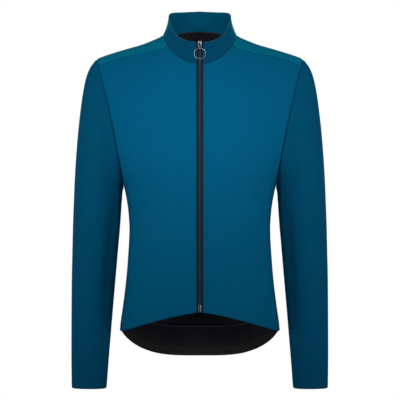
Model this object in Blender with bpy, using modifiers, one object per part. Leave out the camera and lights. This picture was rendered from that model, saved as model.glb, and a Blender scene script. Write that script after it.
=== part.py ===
"""Long-sleeved cycling jacket in its worn, hollow form, for Blender 4.5 (metres, +Z up).

The front faces -Y and +X is the wearer's left. The origin lies between the tops of the two
shoulder lines, at mid depth, where the wearer carries the jacket. The torso is one smooth skin:
oval sections at each height that close over the shoulders. The panels are cut out of that skin
along the seams, each as an open sheet with an even wall on its inner side.
"""

import math
from bisect import bisect_right
from collections import namedtuple

import bpy
from mathutils import Matrix, Vector

# Cloth walls and the gap between two pieces at a seam
WALL = 0.0015
COLLAR_WALL = 0.0018
TAPE_WALL = 0.0010
GRIPPER_WALL = 0.0010
SEAM = 0.0003

# The torso's oval sections: x and y follow |x/a|^OVAL + |y/b|^OVAL = 1
OVAL = 2.3
Section = namedtuple("Section", "z half_width front back")
TORSO = [
    Section(-0.690, 0.1695, 0.1140, 0.1130),
    Section(-0.620, 0.1690, 0.1130, 0.1140),
    Section(-0.578, 0.1634, 0.1115, 0.1120),
    Section(-0.527, 0.1570, 0.1090, 0.1080),
    Section(-0.476, 0.1524, 0.1065, 0.1040),
    Section(-0.412, 0.1490, 0.1045, 0.1015),
    Section(-0.374, 0.1511, 0.1065, 0.1030),
    Section(-0.348, 0.1547, 0.1090, 0.1060),
    Section(-0.319, 0.1610, 0.1120, 0.1100),
    Section(-0.298, 0.1695, 0.1145, 0.1130),
    Section(-0.248, 0.1950, 0.1175, 0.1170),
    Section(-0.198, 0.2130, 0.1190, 0.1190),
    Section(-0.148, 0.2260, 0.1190, 0.1200),
    Section(-0.098, 0.2350, 0.1180, 0.1190),
    Section(-0.040, 0.2400, 0.1160, 0.1160),
    Section(0.060, 0.2400, 0.1150, 0.1120),
]

# Height of the shoulder line at each x. Inside the neck (x under 0.079) it is only a guide that
# the front's and the back's slopes rise to.
Crest = namedtuple("Crest", "x front back")
SHOULDER = [
    Crest(0.000, 0.0280, 0.0415),
    Crest(0.030, 0.0230, 0.0350),
    Crest(0.050, 0.0140, 0.0230),
    Crest(0.068, 0.0050, 0.0090),
    Crest(0.080, -0.0005, -0.0005),
    Crest(0.092, -0.0055, -0.0055),
    Crest(0.122, -0.0170, -0.0170),
    Crest(0.166, -0.0300, -0.0300),
    Crest(0.204, -0.0425, -0.0425),
    Crest(0.219, -0.0500, -0.0500),
    Crest(0.235, -0.0600, -0.0600),
]

# Each face falls from the shoulder line to its full depth over `drop`, on a curve of power `bend`
Face = namedtuple("Face", "name sign drop bend")
FRONT = Face("front", -1, 0.313, 1.7)
BACK = Face("back", 1, 0.200, 2.0)

# Armhole: a slanted plane from the armpit to the shoulder tip
ARMPIT = Vector((0.1610, 0.0, -0.3190))
ARMHOLE_SLOPE = 0.215
ARMHOLE_NORMAL = Vector((1, 0, -ARMHOLE_SLOPE)).normalized()

# Neck seam: half an ellipse in front and a shallower half behind
NECK_HALF_WIDTH = 0.079
NECK_FRONT = 0.072
NECK_BACK = 0.058
FRONT_EDGE = 0.0065

# Forward shoulder seam, from the neck seam to the armhole
SEAM_AT_NECK = math.radians(58.7)
SeamRow = namedtuple("SeamRow", "x z")
SHOULDER_SEAM = [
    SeamRow(0.0675, -0.0255),
    SeamRow(0.1160, -0.0374),
    SeamRow(0.1600, -0.0460),
    SeamRow(0.1870, -0.0537),
    SeamRow(0.2200, -0.0680),
]

# Hems: the front rises to the zip, the tail drops behind, and a seam parts back and tail
HEM_SIDE = -0.6255
HEM_FRONT = -0.5810
HEM_FRONT_POWER = 1.4
HEM_TAIL = -0.6885
HEM_TAIL_POWER = 4.0
TAIL_SEAM = -0.6240
TAIL_SEAM_RISE = 0.0360
TAIL_SEAM_POWER = 3.0
HEM_HALF_WIDTH = 0.1690

# Collar: top edge by angle round the neck, 0 at the zip and 180 at the back
COLLAR_TOP_HALF_WIDTH = 0.0645
COLLAR_TOP_FRONT = 0.061
COLLAR_TOP_BACK = 0.052
COLLAR_BOW = 0.0006
CollarRow = namedtuple("CollarRow", "degrees top")
COLLAR_TOP = [
    CollarRow(0.0, -0.0178),
    CollarRow(12.0, -0.0174),
    CollarRow(24.0, -0.0143),
    CollarRow(37.0, -0.0083),
    CollarRow(49.0, 0.0000),
    CollarRow(60.0, 0.0115),
    CollarRow(75.0, 0.0285),
    CollarRow(93.0, 0.0440),
    CollarRow(120.0, 0.0525),
    CollarRow(180.0, 0.0560),
]

# Sleeve rings: outermost and innermost point, half depth and the ring's centre in y. The first
# ring is the armhole itself, so the table starts with the second.
Ring = namedtuple("Ring", "outer_x outer_z inner_x inner_z half_depth centre_y")
CAP_RINGS = [
    Ring(0.2325, -0.0670, 0.1616, -0.3205, 0.0670, 0.000),
    Ring(0.2415, -0.0900, 0.1620, -0.3220, 0.0670, 0.000),
    Ring(0.2480, -0.1220, 0.1624, -0.3235, 0.0665, 0.000),
    Ring(0.2535, -0.1620, 0.1627, -0.3250, 0.0655, 0.000),
    Ring(0.2585, -0.2080, 0.1630, -0.3268, 0.0645, 0.000),
    Ring(0.2625, -0.2580, 0.1634, -0.3290, 0.0630, 0.000),
    Ring(0.2655, -0.3080, 0.1642, -0.3330, 0.0620, 0.000),
    Ring(0.2672, -0.3480, 0.1660, -0.3560, 0.0605, 0.001),
]
ARM_RINGS = [
    Ring(0.2692, -0.4000, 0.1691, -0.4020, 0.0580, 0.002),
    Ring(0.2704, -0.4550, 0.1736, -0.4550, 0.0550, 0.001),
    Ring(0.2714, -0.5100, 0.1781, -0.5100, 0.0510, -0.003),
    Ring(0.2715, -0.5650, 0.1826, -0.5650, 0.0460, -0.009),
    Ring(0.2713, -0.6200, 0.1870, -0.6200, 0.0405, -0.016),
    Ring(0.2708, -0.6780, 0.1915, -0.6780, 0.0340, -0.025),
    Ring(0.2695, -0.7435, 0.1960, -0.7440, 0.0275, -0.035),
]
ARMHOLE_BLEND_RINGS = 5
ARMHOLE_LIP = 0.003
ROUND_SLEEVE = 20

# How many faces each stretch of the panels gets
NECK_FRONT_STEPS = 5
NECK_BACK_STEPS = 9
SHOULDER_STEPS = 6
BODY_ROWS = 8
FRONT_YOKE_ROWS = 10
BACK_BLADE_ROWS = 3
BACK_YOKE_ROWS = 9
SEAM_ROW = 0.02
TAIL_ROWS = 3
COLLAR_ROWS = 4
STRIP_ROWS = 18

# Zip, measured from the cloth's outer face: depths inward, half widths across
TAPE_INNER_EDGE = 0.0022
TAPE_OUTER_EDGE = 0.0150
TAPE_DEPTH = 0.0023
TEETH_HALF_WIDTH = 0.0030
TEETH_DEPTH = 0.0002
TEETH_WALL = 0.0016
BOX_LENGTH = 0.0160
BOX_WIDTH = 0.0088
BOX_PROUD = 0.0006
BOX_ABOVE_HEM = 0.0004

# Slider and pull, in the slider's own frame: across, outward from the cloth, up along the cloth
SLIDER_CENTRE_Z = -0.0225
SLIDER_WIDTH = 0.0118
SLIDER_LENGTH = 0.0150
SLIDER_PLATE = 0.0013
SLIDER_FRONT = 0.0004
SLIDER_BACK = -0.0046
SLIDER_BACK_PLATE = 0.0010
POST_WIDTH = 0.0024
POST_LENGTH = 0.0026
BRIDGE_WIDTH = 0.0022
BRIDGE_LOW = -0.0035
BRIDGE_HIGH = 0.0034
BRIDGE_TOP = 0.0056
EYE_LOW = -0.0009
EYE_HIGH = 0.0019
EYE_TOP = 0.0044
PULL_OUT = 0.0030
LINK_AXIS = 0.0005
LINK_WIDTH = 0.0086
LINK_PLATE = 0.0012
SLOT_WIDTH = 0.0032
SLOT_LOW = -0.0062
RING_AXIS = -0.0105
BARREL_LENGTH = 0.0050
BARREL_OUTER = 0.0021
BARREL_INNER = 0.0015
RING_RADIUS = 0.0120
RING_WIRE = 0.0010

GRIPPER_HEIGHT = 0.0190
GRIPPER_ABOVE_HEM = 0.0010


# ---------------------------------------------------------------------------- scene and tools
def start_collection(name):
    """Empty the scene and open the parts' collection."""
    for obj in list(bpy.data.objects):
        bpy.data.objects.remove(obj)
    collection = bpy.data.collections.new(name)
    bpy.context.scene.collection.children.link(collection)
    return collection


def principled(name, red, green, blue, roughness, metallic=0.0):
    """A Principled material from a colour in 0-255 screen values."""
    def linear(value):
        value /= 255
        return value / 12.92 if value <= 0.04045 else ((value + 0.055) / 1.055) ** 2.4

    material = bpy.data.materials.new(name)
    material.use_nodes = True
    shader = material.node_tree.nodes["Principled BSDF"]
    shader.inputs["Base Color"].default_value = (linear(red), linear(green), linear(blue), 1)
    shader.inputs["Roughness"].default_value = roughness
    shader.inputs["Metallic"].default_value = metallic
    return material


def read(table, column, at):
    """A column's value at a place in the first column, on a smooth curve through the rows."""
    keys = [row[0] for row in table]
    values = [getattr(row, column) for row in table]
    at = min(max(at, keys[0]), keys[-1])
    low = min(bisect_right(keys, at), len(keys) - 1) - 1

    def slope(k):
        before, after = max(k - 1, 0), min(k + 1, len(keys) - 1)
        return (values[after] - values[before]) / (keys[after] - keys[before])

    span = keys[low + 1] - keys[low]
    t = (at - keys[low]) / span
    return (values[low] * (1 + 2 * t) * (1 - t) ** 2 + values[low + 1] * t * t * (3 - 2 * t)
            + slope(low) * span * t * (1 - t) ** 2 + slope(low + 1) * span * t * t * (t - 1))


def mix(a, b, t):
    """The value part of the way from a to b."""
    return a + (b - a) * t


def seam_steps(count):
    """Shares of the way to a seam, with one narrow row against it so that the walls meet square."""
    return [step / count for step in range(1, count)] + [1 - SEAM_ROW, 1]


def mirrored(grid):
    """The same sheet on the wearer's other side, with its outer face still outward."""
    return [[Vector((-p.x, p.y, p.z)) for p in reversed(row)] for row in grid]


def moved_in(grid, depth):
    """A sheet of points moved to the inner side of the sheet that they lie on."""
    rows, columns = len(grid), len(grid[0])

    def normal(r, c):
        across = grid[r][min(c + 1, columns - 1)] - grid[r][max(c - 1, 0)]
        along = grid[min(r + 1, rows - 1)][c] - grid[max(r - 1, 0)][c]
        return across.cross(along).normalized()

    return [[grid[r][c] - normal(r, c) * depth for c in range(columns)] for r in range(rows)]


def cloth(name, grid, wall, material, closed=False):
    """An open sheet of points with an even wall on its inner side."""
    rows, columns = len(grid), len(grid[0])
    faces = []
    for r in range(rows - 1):
        for c in range(columns if closed else columns - 1):
            after = (c + 1) % columns
            faces.append((r * columns + c, r * columns + after,
                          (r + 1) * columns + after, (r + 1) * columns + c))
    mesh = bpy.data.meshes.new(name)
    mesh.from_pydata([p for row in grid for p in row], [], faces)
    mesh.materials.append(material)
    mesh.shade_smooth()
    obj = bpy.data.objects.new(name, mesh)
    PARTS.objects.link(obj)
    solidify = obj.modifiers.new("wall", "SOLIDIFY")
    solidify.thickness = wall
    solidify.offset = -1
    solidify.use_even_offset = True
    return obj


# ---------------------------------------------------------------------------- the torso's skin
def armhole_x(z):
    """Where the armhole's plane stands at a height."""
    return ARMPIT.x + ARMHOLE_SLOPE * (z - ARMPIT.z)


def across(x, z):
    """Share of the full depth that the oval has at x."""
    share = min(1.0, abs(x) / read(TORSO, "half_width", z))
    return (1 - share ** OVAL) ** (1 / OVAL)


def skin_y(x, z, face):
    """Depth of the outer skin on one face at x and z."""
    fall = (read(SHOULDER, face.name, abs(x)) - z) / face.drop
    fall = min(max(fall, 0.0), 1.0)
    over = (1 - (1 - fall) ** face.bend) ** (1 / face.bend)
    return face.sign * read(TORSO, face.name, z) * across(x, z) * over


def over_shoulder(x, turn):
    """Skin point at x, `turn` round the shoulder: 0 on its line, positive behind it."""
    face = BACK if turn > 0 else FRONT
    lean = abs(turn)
    z = read(SHOULDER, face.name, abs(x)) - face.drop * (1 - math.cos(lean) ** (2 / face.bend))
    depth = read(TORSO, face.name, z) * across(x, z) * math.sin(lean) ** (2 / face.bend)
    return Vector((x, face.sign * depth, z))


def turn_at(x, z, face):
    """How far round the shoulder a height on one face lies."""
    fall = min(max((read(SHOULDER, face.name, abs(x)) - z) / face.drop, 0.0), 1.0)
    return face.sign * math.acos((1 - fall) ** (face.bend / 2))


def neck_point(angle):
    """Neck seam by angle round the neck, 0 at the zip: an ellipse in plan, on the skin."""
    x = NECK_HALF_WIDTH * math.sin(angle)
    face = FRONT if math.cos(angle) > 0 else BACK
    y = -math.cos(angle) * (NECK_FRONT if face is FRONT else NECK_BACK)
    z = 0.0
    for _ in range(6):
        over = abs(y) / (read(TORSO, face.name, z) * across(x, z))
        fall = 1 - (1 - over ** face.bend) ** (1 / face.bend)
        z = read(SHOULDER, face.name, abs(x)) - face.drop * fall
    return Vector((x, y, z))


def shoulder_tip_x():
    """Where the forward shoulder seam meets the armhole's plane."""
    x = 0.2
    for _ in range(12):
        x = armhole_x(read(SHOULDER_SEAM, "z", x))
    return x


def shoulder_seam_points():
    """Forward shoulder seam from just past the neck seam to the armhole."""
    start, tip = neck_point(SEAM_AT_NECK), shoulder_tip_x()
    points = []
    for step in range(1, SHOULDER_STEPS + 1):
        x = mix(start.x, tip, step / SHOULDER_STEPS)
        points.append(Vector((x, 0.0, read(SHOULDER_SEAM, "z", x))))
    return points


def edge_x(z):
    """Outer limit of the panels: the side of the oval, then the armhole's plane."""
    return armhole_x(z) if z > ARMPIT.z else read(TORSO, "half_width", z)


def oval_share(fraction):
    """Even steps round the oval, as shares of its half width."""
    return math.sin(fraction * math.pi / 2) ** (2 / OVAL)


def front_hem_z(x):
    return HEM_SIDE + (HEM_FRONT - HEM_SIDE) * (1 - (abs(x) / HEM_HALF_WIDTH) ** HEM_FRONT_POWER)


def tail_hem_z(x):
    return HEM_TAIL + (HEM_SIDE - HEM_TAIL) * (abs(x) / HEM_HALF_WIDTH) ** HEM_TAIL_POWER


def tail_seam_z(x):
    return TAIL_SEAM + TAIL_SEAM_RISE * (abs(x) / HEM_HALF_WIDTH) ** TAIL_SEAM_POWER


def settle_x(share, height):
    """The x that is a share of the panel's edge at the height that it itself gives."""
    x = share * HEM_HALF_WIDTH
    for _ in range(12):
        x = share * edge_x(height(x))
    return x


# ---------------------------------------------------------------------------- panels
def front_panel():
    """Left front: from the zip to the side seam, up to the neck and the forward seam."""
    neck_start = math.asin(FRONT_EDGE / NECK_HALF_WIDTH)
    top = [neck_point(mix(neck_start, SEAM_AT_NECK, j / NECK_FRONT_STEPS))
           for j in range(NECK_FRONT_STEPS + 1)]
    top += shoulder_seam_points()
    last = len(top) - 1
    grid = []
    body_rows = [(row / BODY_ROWS, 0.0) for row in range(BODY_ROWS + 1)]
    yoke_rows = [(1.0, yoke) for yoke in seam_steps(FRONT_YOKE_ROWS)]
    for body, yoke in body_rows + yoke_rows:
        points = []
        for j, corner in enumerate(top):
            even = oval_share(j / last)

            def x_at(z, share):
                return FRONT_EDGE + (edge_x(z) - FRONT_EDGE) * share

            if yoke == 0:
                x = 0.5 * edge_x(HEM_SIDE)
                for _ in range(12):
                    z = mix(front_hem_z(x), ARMPIT.z, body)
                    x = x_at(z, even)
            else:
                ease = yoke * yoke * (3 - 2 * yoke)
                z = mix(ARMPIT.z, corner.z - SEAM / 2, yoke)
                above = (corner.x - FRONT_EDGE) / (edge_x(corner.z) - FRONT_EDGE)
                x = x_at(z, mix(even, above, ease))
            y = skin_y(x, z, FRONT)
            if j == last and yoke == 0:
                y = -SEAM / 2
            points.append(Vector((x, y, z)))
        grid.append(points)
    return grid


def back_top():
    """Top edge of the back's left half: the neck seam, then the forward shoulder seam."""
    top = []
    for j in range(NECK_BACK_STEPS + 1):
        point = neck_point(mix(math.pi, SEAM_AT_NECK, j / NECK_BACK_STEPS))
        face = BACK if point.y > 0 else FRONT
        top.append((point.x, turn_at(point.x, point.z, face)))
    for point in shoulder_seam_points():
        top.append((point.x, turn_at(point.x, point.z + SEAM / 2, FRONT)))
    return top


def back_half(bottom, share):
    """Rows of one station of the back, from its bottom edge to the line of full depth."""
    def at(height):
        x = settle_x(share, height)
        z = height(x)
        y = SEAM / 2 if share == 1 and z <= ARMPIT.z else skin_y(x, z, BACK)
        return Vector((x, y, z))

    column = []
    for row in range(BODY_ROWS + 1):
        column.append(at(lambda x, t=row / BODY_ROWS: mix(bottom(x), ARMPIT.z, t)))
    for row in range(1, BACK_BLADE_ROWS + 1):
        column.append(at(lambda x, t=row / BACK_BLADE_ROWS:
                         mix(ARMPIT.z, read(SHOULDER, "back", x) - BACK.drop, t)))
    return column


def back_panel():
    """Back: up from the tail seam, over the shoulders to the forward seams."""
    top = back_top()
    last = len(top) - 1
    columns = []
    for j, (top_x, top_turn) in enumerate(top):
        share = oval_share(j / last)
        column = back_half(lambda x: tail_seam_z(x) + SEAM / 2, share)
        top_share = top_x / armhole_x(over_shoulder(top_x, top_turn).z)
        for t in seam_steps(BACK_YOKE_ROWS):
            turn = mix(math.pi / 2, top_turn, t)
            x = top_x
            for _ in range(12):
                x = mix(share, top_share, t) * armhole_x(over_shoulder(x, turn).z)
            column.append(over_shoulder(x, turn))
        columns.append(column)
    left = [[column[row] for column in reversed(columns)] for row in range(len(columns[0]))]
    right = mirrored(left)
    return [a + b[1:] for a, b in zip(left, right)]


def tail_sheet(low, high, rows):
    """A strip round the tail from side seam to side seam, between two heights by x."""
    last = NECK_BACK_STEPS + SHOULDER_STEPS
    left = []
    for row in range(rows + 1):
        t = row / rows
        points = []
        for j in range(last, -1, -1):
            share = oval_share(j / last)
            x = settle_x(share, lambda x: mix(low(x), high(x), t))
            z = mix(low(x), high(x), t)
            y = SEAM / 2 if share == 1 else skin_y(x, z, BACK)
            points.append(Vector((x, y, z)))
        left.append(points)
    return [a + b[1:] for a, b in zip(left, mirrored(left))]


def collar_point(angle, t):
    """Collar skin by angle round the neck and height share, with a slight outward bow."""
    base = neck_point(angle)
    base.z += SEAM
    depth = COLLAR_TOP_FRONT if math.cos(angle) > 0 else COLLAR_TOP_BACK
    top = Vector((COLLAR_TOP_HALF_WIDTH * math.sin(angle), -depth * math.cos(angle),
                  read(COLLAR_TOP, "top", math.degrees(angle))))
    bow = Vector((math.sin(angle), -math.cos(angle), 0)) * COLLAR_BOW * 4 * t * (1 - t)
    return mix(base, top, t) + bow


def collar_angle(x, t):
    """Angle round the neck at which the collar's front stands at x."""
    return math.asin(x / mix(NECK_HALF_WIDTH, COLLAR_TOP_HALF_WIDTH, t))


def collar_sheet():
    """Stand collar from the left front edge round the back to the right front edge."""
    grid = []
    for row in range(COLLAR_ROWS + 1):
        t = row / COLLAR_ROWS
        start = collar_angle(FRONT_EDGE, t)
        angles = [mix(start, SEAM_AT_NECK, j / NECK_FRONT_STEPS) for j in range(NECK_FRONT_STEPS)]
        angles += [mix(SEAM_AT_NECK, math.pi, j / NECK_BACK_STEPS)
                   for j in range(NECK_BACK_STEPS + 1)]
        grid.append([collar_point(angle, t) for angle in angles])
    return [a + b[1:] for a, b in zip(grid, mirrored(grid))]


def armhole_point(angle):
    """Armhole ring on the skin: angle 0 at the shoulder tip, 90 in front, 180 at the armpit."""
    tip_x = 0.2
    for _ in range(12):
        tip_x = armhole_x(read(SHOULDER, "front", tip_x))
    tip_z = read(SHOULDER, "front", tip_x)
    along = (1 + math.cos(angle)) / 2
    x, z = mix(ARMPIT.x, tip_x, along), mix(ARMPIT.z, tip_z, along)
    return Vector((x, skin_y(x, z, FRONT if math.sin(angle) > 0 else BACK), z))


def armhole_lip(edge, next_point, along):
    """A narrow first ring that leaves the armhole's plane square, so that the walls meet clear."""
    share = ARMHOLE_LIP / (CAP_RINGS[0].outer_x - ARMPIT.x)
    fanned = mix(edge, next_point, 2 * share)
    square = edge + ARMHOLE_NORMAL * ARMHOLE_LIP
    ease = min(max((along - 0.08) / 0.25, 0.0), 1.0)
    return mix(fanned, square, ease * ease * (3 - 2 * ease))


def sleeve_sheet():
    """Left sleeve: rings from the armhole, fanning round the armpit, then down to the cuff."""
    lower = []
    for before, after in zip([CAP_RINGS[-1]] + ARM_RINGS, ARM_RINGS):
        lower.append(Ring(*(mix(a, b, 0.5) for a, b in zip(before, after))))
        lower.append(after)
    angles = [2 * math.pi * i / ROUND_SLEEVE for i in range(ROUND_SLEEVE)]
    armhole = [armhole_point(angle) for angle in angles]
    grid = [[point + ARMHOLE_NORMAL * SEAM for point in armhole]]
    for index, ring in enumerate(CAP_RINGS + lower, start=1):
        blend = min(1.0, index / ARMHOLE_BLEND_RINGS)
        blend = blend * blend * (3 - 2 * blend)
        points = []
        for angle, edge in zip(angles, armhole):
            along = (1 + math.cos(angle)) / 2
            depth = ring.centre_y - ring.half_depth * math.sin(angle)
            points.append(Vector((mix(ring.inner_x, ring.outer_x, along),
                                  mix(edge.y, depth, blend),
                                  mix(ring.inner_z, ring.outer_z, along))))
        grid.append(points)
    lip = [armhole_lip(edge, after, (1 + math.cos(angle)) / 2)
           for edge, after, angle in zip(grid[0], grid[1], angles)]
    return grid[:1] + [lip] + grid[1:]


def centre_strip(inner_x, outer_x, bottom_rise, top_share):
    """A strip up the front's skin and the collar's, between two distances from the centre."""
    columns = []
    for x in (inner_x, outer_x):
        angle = math.asin(max(x, 0.0) / NECK_HALF_WIDTH) if x > 0 else 0.0
        neck_z = neck_point(angle).z
        column = []
        for row in range(STRIP_ROWS + 1):
            z = mix(front_hem_z(x) + bottom_rise, neck_z, row / STRIP_ROWS)
            column.append(Vector((x, skin_y(x, z, FRONT), z)))
        for row in range(1, COLLAR_ROWS + 1):
            t = top_share * row / COLLAR_ROWS
            point = collar_point(collar_angle(abs(x), t), t)
            point.x = x
            column.append(point)
        columns.append(column)
    return [list(row) for row in zip(*columns)]


# ---------------------------------------------------------------------------- hard pieces
def block(name, across_x, out_low, out_high, up_low, up_high):
    """A box in the slider's frame, x centred, y outward as -Y, z up along the cloth."""
    bpy.ops.mesh.primitive_cube_add(size=1)
    obj = bpy.context.object
    obj.name = name
    size = Vector((across_x, out_high - out_low, up_high - up_low))
    centre = Vector((0, -(out_low + out_high) / 2, (up_low + up_high) / 2))
    obj.data.transform(Matrix.Translation(centre) @ Matrix.Diagonal((*size, 1)))
    return obj


def bevelled(obj, width, segments=2):
    """Round an object's edges."""
    bevel = obj.modifiers.new("edges", "BEVEL")
    bevel.width = width
    bevel.segments = segments
    bevel.limit_method = "ANGLE"


def applied(obj):
    """A piece with its modifiers applied, as a new object in the parts' collection."""
    name = obj.name
    mesh = bpy.data.meshes.new_from_object(
        obj.evaluated_get(bpy.context.evaluated_depsgraph_get()))
    bpy.data.objects.remove(obj)
    piece = bpy.data.objects.new(name, mesh)
    PARTS.objects.link(piece)
    return piece


def combine(base, other, operation):
    """One piece joined to another, or cut by it; the other goes."""
    boolean = base.modifiers.new("combine", "BOOLEAN")
    boolean.operation = operation
    boolean.object = other
    done = applied(base)
    bpy.data.objects.remove(other)
    return done


def finish(obj, name, place, material):
    """Name a hard piece, give it its material and set it in place."""
    obj.name = name
    obj.data.name = name
    obj.data.materials.clear()
    obj.data.materials.append(material)
    obj.data.shade_smooth()
    obj.data.set_sharp_from_angle(angle=math.radians(40))
    obj.matrix_world = place


def slider_frame():
    """Where the slider sits: on the collar's front, turned to lie along it."""
    low, high = collar_point(0.0, 0.0), collar_point(0.0, 1.0)
    t = (SLIDER_CENTRE_Z - low.z) / (high.z - low.z)
    ahead, behind = collar_point(0.0, min(t + 0.1, 1.0)), collar_point(0.0, t - 0.1)
    up = (ahead - behind).normalized()
    lean = math.atan2(up.y, up.z)
    return Matrix.Translation(collar_point(0.0, t)) @ Matrix.Rotation(-lean, 4, "X")


def slider(material):
    """Slider: two plates, the post that joins them and the bridge that holds the link."""
    half = SLIDER_LENGTH / 2
    front = block("slider", SLIDER_WIDTH, SLIDER_FRONT, SLIDER_FRONT + SLIDER_PLATE, -half, half)
    back = block("back", SLIDER_WIDTH, SLIDER_BACK - SLIDER_BACK_PLATE, SLIDER_BACK, -half, half)
    post = block("post", POST_WIDTH, SLIDER_BACK - SLIDER_BACK_PLATE / 2,
                 SLIDER_FRONT + SLIDER_PLATE / 2, half - POST_LENGTH, half - POST_LENGTH / 4)
    bridge = block("bridge", BRIDGE_WIDTH, SLIDER_FRONT + SLIDER_PLATE / 2, BRIDGE_TOP,
                   BRIDGE_LOW, BRIDGE_HIGH)
    eye = block("eye", 2 * BRIDGE_WIDTH, SLIDER_FRONT + SLIDER_PLATE, EYE_TOP, EYE_LOW, EYE_HIGH)
    bevelled(front, 0.0005)
    bevelled(bridge, 0.0005)
    whole = combine(front, back, "UNION")
    whole = combine(whole, post, "UNION")
    whole = combine(whole, combine(bridge, eye, "DIFFERENCE"), "UNION")
    finish(whole, "zip_slider", slider_frame(), material)


def on_axis(obj, axis_up):
    """Give a moving piece its origin on its hinge's axis, and return where that is."""
    axis = Vector((0, -PULL_OUT, axis_up))
    obj.data.transform(Matrix.Translation(-axis))
    return slider_frame() @ Matrix.Translation(axis)


def rod(radius, length):
    """A round bar along the ring's hinge."""
    bpy.ops.mesh.primitive_cylinder_add(vertices=20, radius=radius, depth=length)
    obj = bpy.context.object
    obj.data.transform(Matrix.Translation((0, -PULL_OUT, RING_AXIS))
                       @ Matrix.Rotation(math.pi / 2, 4, "Y"))
    return obj


def pull_link(material):
    """Link: a plate whose slot goes round the bridge, with a barrel for the ring at its foot."""
    plate = block("link", LINK_WIDTH, PULL_OUT - LINK_PLATE / 2, PULL_OUT + LINK_PLATE / 2,
                  RING_AXIS + (BARREL_INNER + BARREL_OUTER) / 2, LINK_AXIS + LINK_PLATE / 2)
    slot = block("slot", SLOT_WIDTH, 0.0, 2 * PULL_OUT, SLOT_LOW, LINK_AXIS - LINK_PLATE / 2)
    bevelled(plate, 0.0003, 1)
    whole = combine(plate, slot, "DIFFERENCE")
    whole = combine(whole, rod(BARREL_OUTER, BARREL_LENGTH), "UNION")
    whole = combine(whole, rod(BARREL_INNER, 2 * BARREL_LENGTH), "DIFFERENCE")
    finish(whole, "pull_link", on_axis(whole, LINK_AXIS), material)


def pull_ring(material):
    """Ring: a round wire through the link's barrel, lying along the cloth."""
    bpy.ops.mesh.primitive_torus_add(major_radius=RING_RADIUS, minor_radius=RING_WIRE,
                                     major_segments=40, minor_segments=10)
    torus = bpy.context.object
    torus.data.transform(Matrix.Translation((0, -PULL_OUT, RING_AXIS - RING_RADIUS))
                         @ Matrix.Rotation(math.pi / 2, 4, "X"))
    whole = applied(torus)
    finish(whole, "pull_ring", on_axis(whole, RING_AXIS), material)


def zip_box(material):
    """Bottom box that closes the zip at the hem."""
    low = HEM_FRONT + BOX_ABOVE_HEM
    foot = Vector((0, skin_y(0, low, FRONT), low))
    head_z = low + BOX_LENGTH
    head = Vector((0, skin_y(0, head_z, FRONT), head_z))
    lean = math.atan2(head.y - foot.y, head.z - foot.z)
    box = block("box", BOX_WIDTH, -(TEETH_DEPTH + TEETH_WALL), BOX_PROUD, 0, BOX_LENGTH)
    bevelled(box, 0.0005)
    finish(applied(box), "zip_box", Matrix.Translation(foot) @ Matrix.Rotation(-lean, 4, "X"),
           material)


# ---------------------------------------------------------------------------- the jacket
PARTS = start_collection("cycling_jacket")


def build():
    """All the pieces, outside to inside."""
    teal = principled("teal knit", 0, 88, 128, 0.62)
    black = principled("black elastic", 16, 15, 20, 0.8)
    tape = principled("zip tape", 14, 40, 56, 0.85)
    teeth = principled("zip teeth", 64, 62, 62, 0.45)
    metal = principled("satin steel", 190, 192, 194, 0.3, 1.0)

    front = front_panel()
    cloth("front_left", front, WALL, teal)
    cloth("front_right", mirrored(front), WALL, teal)
    cloth("back", back_panel(), WALL, teal)
    cloth("tail_panel", tail_sheet(tail_hem_z, lambda x: tail_seam_z(x) - SEAM / 2, TAIL_ROWS),
          WALL, teal)
    sleeve = sleeve_sheet()
    cloth("sleeve_left", sleeve, WALL, teal, closed=True)
    cloth("sleeve_right", mirrored(sleeve), WALL, teal, closed=True)
    cloth("collar", collar_sheet(), COLLAR_WALL, teal)

    gripper = tail_sheet(lambda x: tail_hem_z(x) + GRIPPER_ABOVE_HEM,
                         lambda x: tail_hem_z(x) + GRIPPER_ABOVE_HEM + GRIPPER_HEIGHT, 1)
    cloth("tail_gripper", moved_in(gripper, WALL + SEAM), GRIPPER_WALL, black)

    tape_sheet = moved_in(centre_strip(TAPE_INNER_EDGE, TAPE_OUTER_EDGE, 0.0005, 1.0), TAPE_DEPTH)
    cloth("zip_tape_left", tape_sheet, TAPE_WALL, tape)
    cloth("zip_tape_right", mirrored(tape_sheet), TAPE_WALL, tape)
    teeth_rise = BOX_ABOVE_HEM + BOX_LENGTH + SEAM
    chain = centre_strip(-TEETH_HALF_WIDTH, TEETH_HALF_WIDTH, teeth_rise, 0.94)
    cloth("zip_teeth", moved_in(chain, TEETH_DEPTH), TEETH_WALL, teeth)
    slider(metal)
    pull_link(metal)
    pull_ring(metal)
    zip_box(metal)


build()
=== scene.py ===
"""Long-sleeved cycling jacket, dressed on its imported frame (Blender 4.5, metres, +Z up).

The front faces -Y and +X is the wearer's left.
"""

import math
from bisect import bisect_right
from collections import namedtuple
from functools import cache

import bmesh
import bpy
from mathutils import Matrix, Vector


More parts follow.
